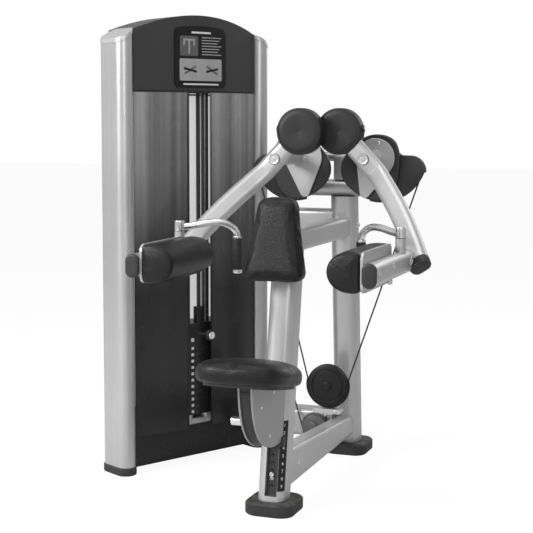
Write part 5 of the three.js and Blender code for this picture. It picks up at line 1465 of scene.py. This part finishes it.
# The liner's glow is painted light.
tower_slab("back_glow_liner", 268, 121.5, 123.5, 206, 1408, liner_painted_glow)
round_edges(tower_slab("back_top_cover", 279, 66, 124, 1409.5, 1413.5, cover_plastic), 0.6)

pin_place = tower_spot(HOLE_AT, 0, PIN_Z)
knob = [(5, KNOB_REAR - 0.2), (KNOB_R - 3, KNOB_REAR), (KNOB_R, KNOB_REAR + 4),
        (KNOB_R, KNOB_REAR + 17), (KNOB_R - 2.5, KNOB_FRONT - 3), (14.6, KNOB_FRONT - 1.8),
        (0, KNOB_FRONT - 1.8)]
make("pin_knob", turned(rounded(knob, 2), pin_place, TOWER_OUT, 56), cover_plastic, "selector_pin",
     ["selector_pin"])
button = [(14.2, KNOB_FRONT - 2.4), (14.2, KNOB_FRONT - 0.6), (12, KNOB_FRONT), (3, KNOB_FRONT),
          (2.4, KNOB_FRONT - 1.2), (0, KNOB_FRONT - 1.2)]
shank = [(0, -16), (3, -16), (5, -13), (5, KNOB_REAR), (0, KNOB_REAR)]
for name, shape, size, steps in (("pin_button", button, 0.6, 40), ("pin_shank", shank, 0.5, 28)):
    made = turned(rounded(shape, size), pin_place, TOWER_OUT, steps)
    make(name, made, bright_chrome, "selector_pin")
print("pin at", PIN_Z)

# %% [markdown]
# Cover screws are laid out on the back and the kick panel, thin dark seams run where the head
# meets the panels, and each column has a sloping cap. Shadow gaps like these tell the eye that
# the tower is made of parts.

# %% Tower screws, seams and column caps
KICK_SCREWS, KICK_SCREW_Z = (-235, 235), 78
BACK_SCREWS, BACK_SCREW_HEIGHTS = (-262, 262), (110, 420, 740, 1060, 1370)
SLOT_TRIMS = (("shroud_left", -61 - 3.2), ("shroud_right", 45 + 3.2))
SLOT_LOW, SLOT_HIGH, SEAM_HALF, SEAM_Z, COLUMN_TOPS = 142, 1413, 284, 1421, (1648, 1608)
kick_tree, back_tree = (surface_of(nodes[name].data) for name in ("kick_panel", "rear_shroud"))
for n, along in enumerate(KICK_SCREWS):
    place = on_tower(kick_tree, along, KICK_SCREW_Z)
    bolt(f"kick_screw_{n + 1}", place, TOWER_OUT, 7, "frame", black_gloss, 0.25)
for n, (along, z) in enumerate([(a, z) for z in BACK_SCREW_HEIGHTS for a in BACK_SCREWS]):
    bolt(f"back_screw_{n + 1}", on_tower(back_tree, along, z, behind=True), tower_rear, 6.5, "frame",
         black_gloss, 0.4)
for n, (name, along) in enumerate(SLOT_TRIMS):
    tree = surface_of(nodes[name].data)
    path = [on_tower(tree, along, z, 0.4) for z in (*range(SLOT_LOW, SLOT_HIGH + 1, 40), SLOT_HIGH)]
    make(f"slot_trim_{n + 1}", tube(path, 1.5, 8), black_gloss, "frame")
for side, label in SIDES:
    rings = []
    for drop, grow in ((16, 0.3), (16, 1.4), (2.5, 1.6), (-0.6, 0.2), (-1.4, -4)):
        section = tube_section(COLUMN_WIDE + 2 * grow, COLUMN_DEEP + 2 * grow,
                               COLUMN_WIDE / 2 + grow, 12)
        slope = (COLUMN_TOPS[1] - COLUMN_TOPS[0]) * side / COLUMN_WIDE
        middle_z = (COLUMN_TOPS[0] + COLUMN_TOPS[1]) / 2 - drop
        rings.append([tower_spot(side * COLUMN_X + x, y, middle_z + slope * x) for x, y in section])
    make("column_cap_" + label, skin(rings), silver_paint, "frame")
head_tree = surface_of(nodes["head_housing"].data)
seam_path = [on_tower(head_tree, -SEAM_HALF + 2 * SEAM_HALF * i / 24, SEAM_Z, 0.1) for i in range(25)]
make("head_seam", tube(seam_path, 1.6, 8), black_gloss, "frame")
print("tower screws and seams laid")

# %% [markdown]
# Bolts on the station hold the crossmember, the uprights and the tower link. Their heads are
# placed on the CAD faces by rays as well, so that none floats.

# %% Station bolts
STATION_BOLTS = [
    ("rear_post", -RIGHT, 11, [(300, 800, 905), (300, 835, 905)]),
    ("rear_post", FORWARD, 11, [(0, 1200, 905), (0, 1200, 130)]),
    ("pivot_crossmember", AHEAD, 9, [(110, 500, 1052), (-110, 500, 1052)]),
    ("pivot_crossmember", FORWARD, 9, [(60, 1200, 1052), (-60, 1200, 1052)]),
    ("low_beam", -RIGHT, 9, [(300, 150, 130)]),
    ("low_beam", RIGHT, 9, [(-300, 150, 130)]),
]
bolts = [(name, way, size, at) for name, way, size, places in STATION_BOLTS for at in places]
for n, (name, way, size, at) in enumerate(bolts):
    place = surface_of(nodes[name].data).ray_cast(spot(*at), way)[0]
    bolt(f"station_bolt_{n + 1}", place, -way, size, "frame", satin_steel, 0.4)
print(len(bolts), "station bolts")

# %% [markdown]
# The room is a plain white studio. The floor takes the machine's shadow but looks white to the
# camera, and the world does the same for reflections, so metal and gloss show a pale room. Four
# soft lamps light the machine: a strong one at the front left, a weak one at the front right, one
# above and one behind.

# %% Floor and room
FLOOR_HALF, FLOOR_TONE, FLOOR_GLOW, FLOOR_SEEN = 30, 0.82, 1.07, 0.86
ROOM_SOFT, ROOM_MIRROR, ROOM_SEEN = 0.36, 0.60, 1.0
AIM = (0.0, 0.2, 0.8)


def blend_of(tree, share, first, second):
    return put(tree, "ShaderNodeMixShader", {0: share, 1: first, 2: second}).outputs[0]


def pale_stage():
    material, tree, shader = new_material("stage_floor")
    tree.nodes.remove(shader)
    diffuse = put(tree, "ShaderNodeBsdfDiffuse", {"Color": grey(FLOOR_TONE)}).outputs[0]
    white = put(tree, "ShaderNodeEmission", {"Color": grey(1.0), "Strength": FLOOR_GLOW}).outputs[0]
    path = put(tree, "ShaderNodeLightPath").outputs
    share = maths(tree, "MULTIPLY", path["Is Camera Ray"], FLOOR_SEEN)
    join(tree, tree.nodes["Material Output"], {0: blend_of(tree, share, diffuse, white)})
    return material


corners = [(x * FLOOR_HALF, y * FLOOR_HALF, 0) for x, y in ((-1, -1), (1, -1), (1, 1), (-1, 1))]
floor = make("stage_floor", (corners, [(0, 1, 2, 3)]), pale_stage())

scene.world = bpy.data.worlds.new("studio")
scene.world.use_nodes = True
room = scene.world.node_tree
path = put(room, "ShaderNodeLightPath").outputs
direct = maths(room, "MAXIMUM", path["Is Camera Ray"], path["Is Transmission Ray"])
soft_room, mirror_room, white_room = (
    put(room, "ShaderNodeBackground", {"Color": grey(1.0), "Strength": strength}).outputs[0]
    for strength in (ROOM_SOFT, ROOM_MIRROR, ROOM_SEEN))
shiny = blend_of(room, path["Is Glossy Ray"], soft_room, mirror_room)
join(room, room.nodes["World Output"], {0: blend_of(room, direct, shiny, white_room)})

for name, place, power, size in (
        ("key_lamp", (-3.0, -3.4, 3.0), 215, 1.8), ("fill_lamp", (2.3, -4.2, 2.3), 42, 1.6),
        ("top_lamp", (0.2, -0.4, 4.2), 44, 2.5), ("back_lamp", (1.5, 4.0, 2.6), 24, 2.0)):
    data = bpy.data.lights.new(name, "AREA")
    data.energy, data.size, data.shape = power, size, "SQUARE"
    light = bpy.data.objects.new(name, data)
    light.location = place
    light.rotation_euler = (Vector(AIM) - Vector(place)).to_track_quat("-Z", "Y").to_euler()
    scene.collection.objects.link(light)
print("room and lamps ready")

# %% [markdown]
# Last, the view settings.

# %% The view settings, and the end
scene.view_settings.view_transform = "Standard"
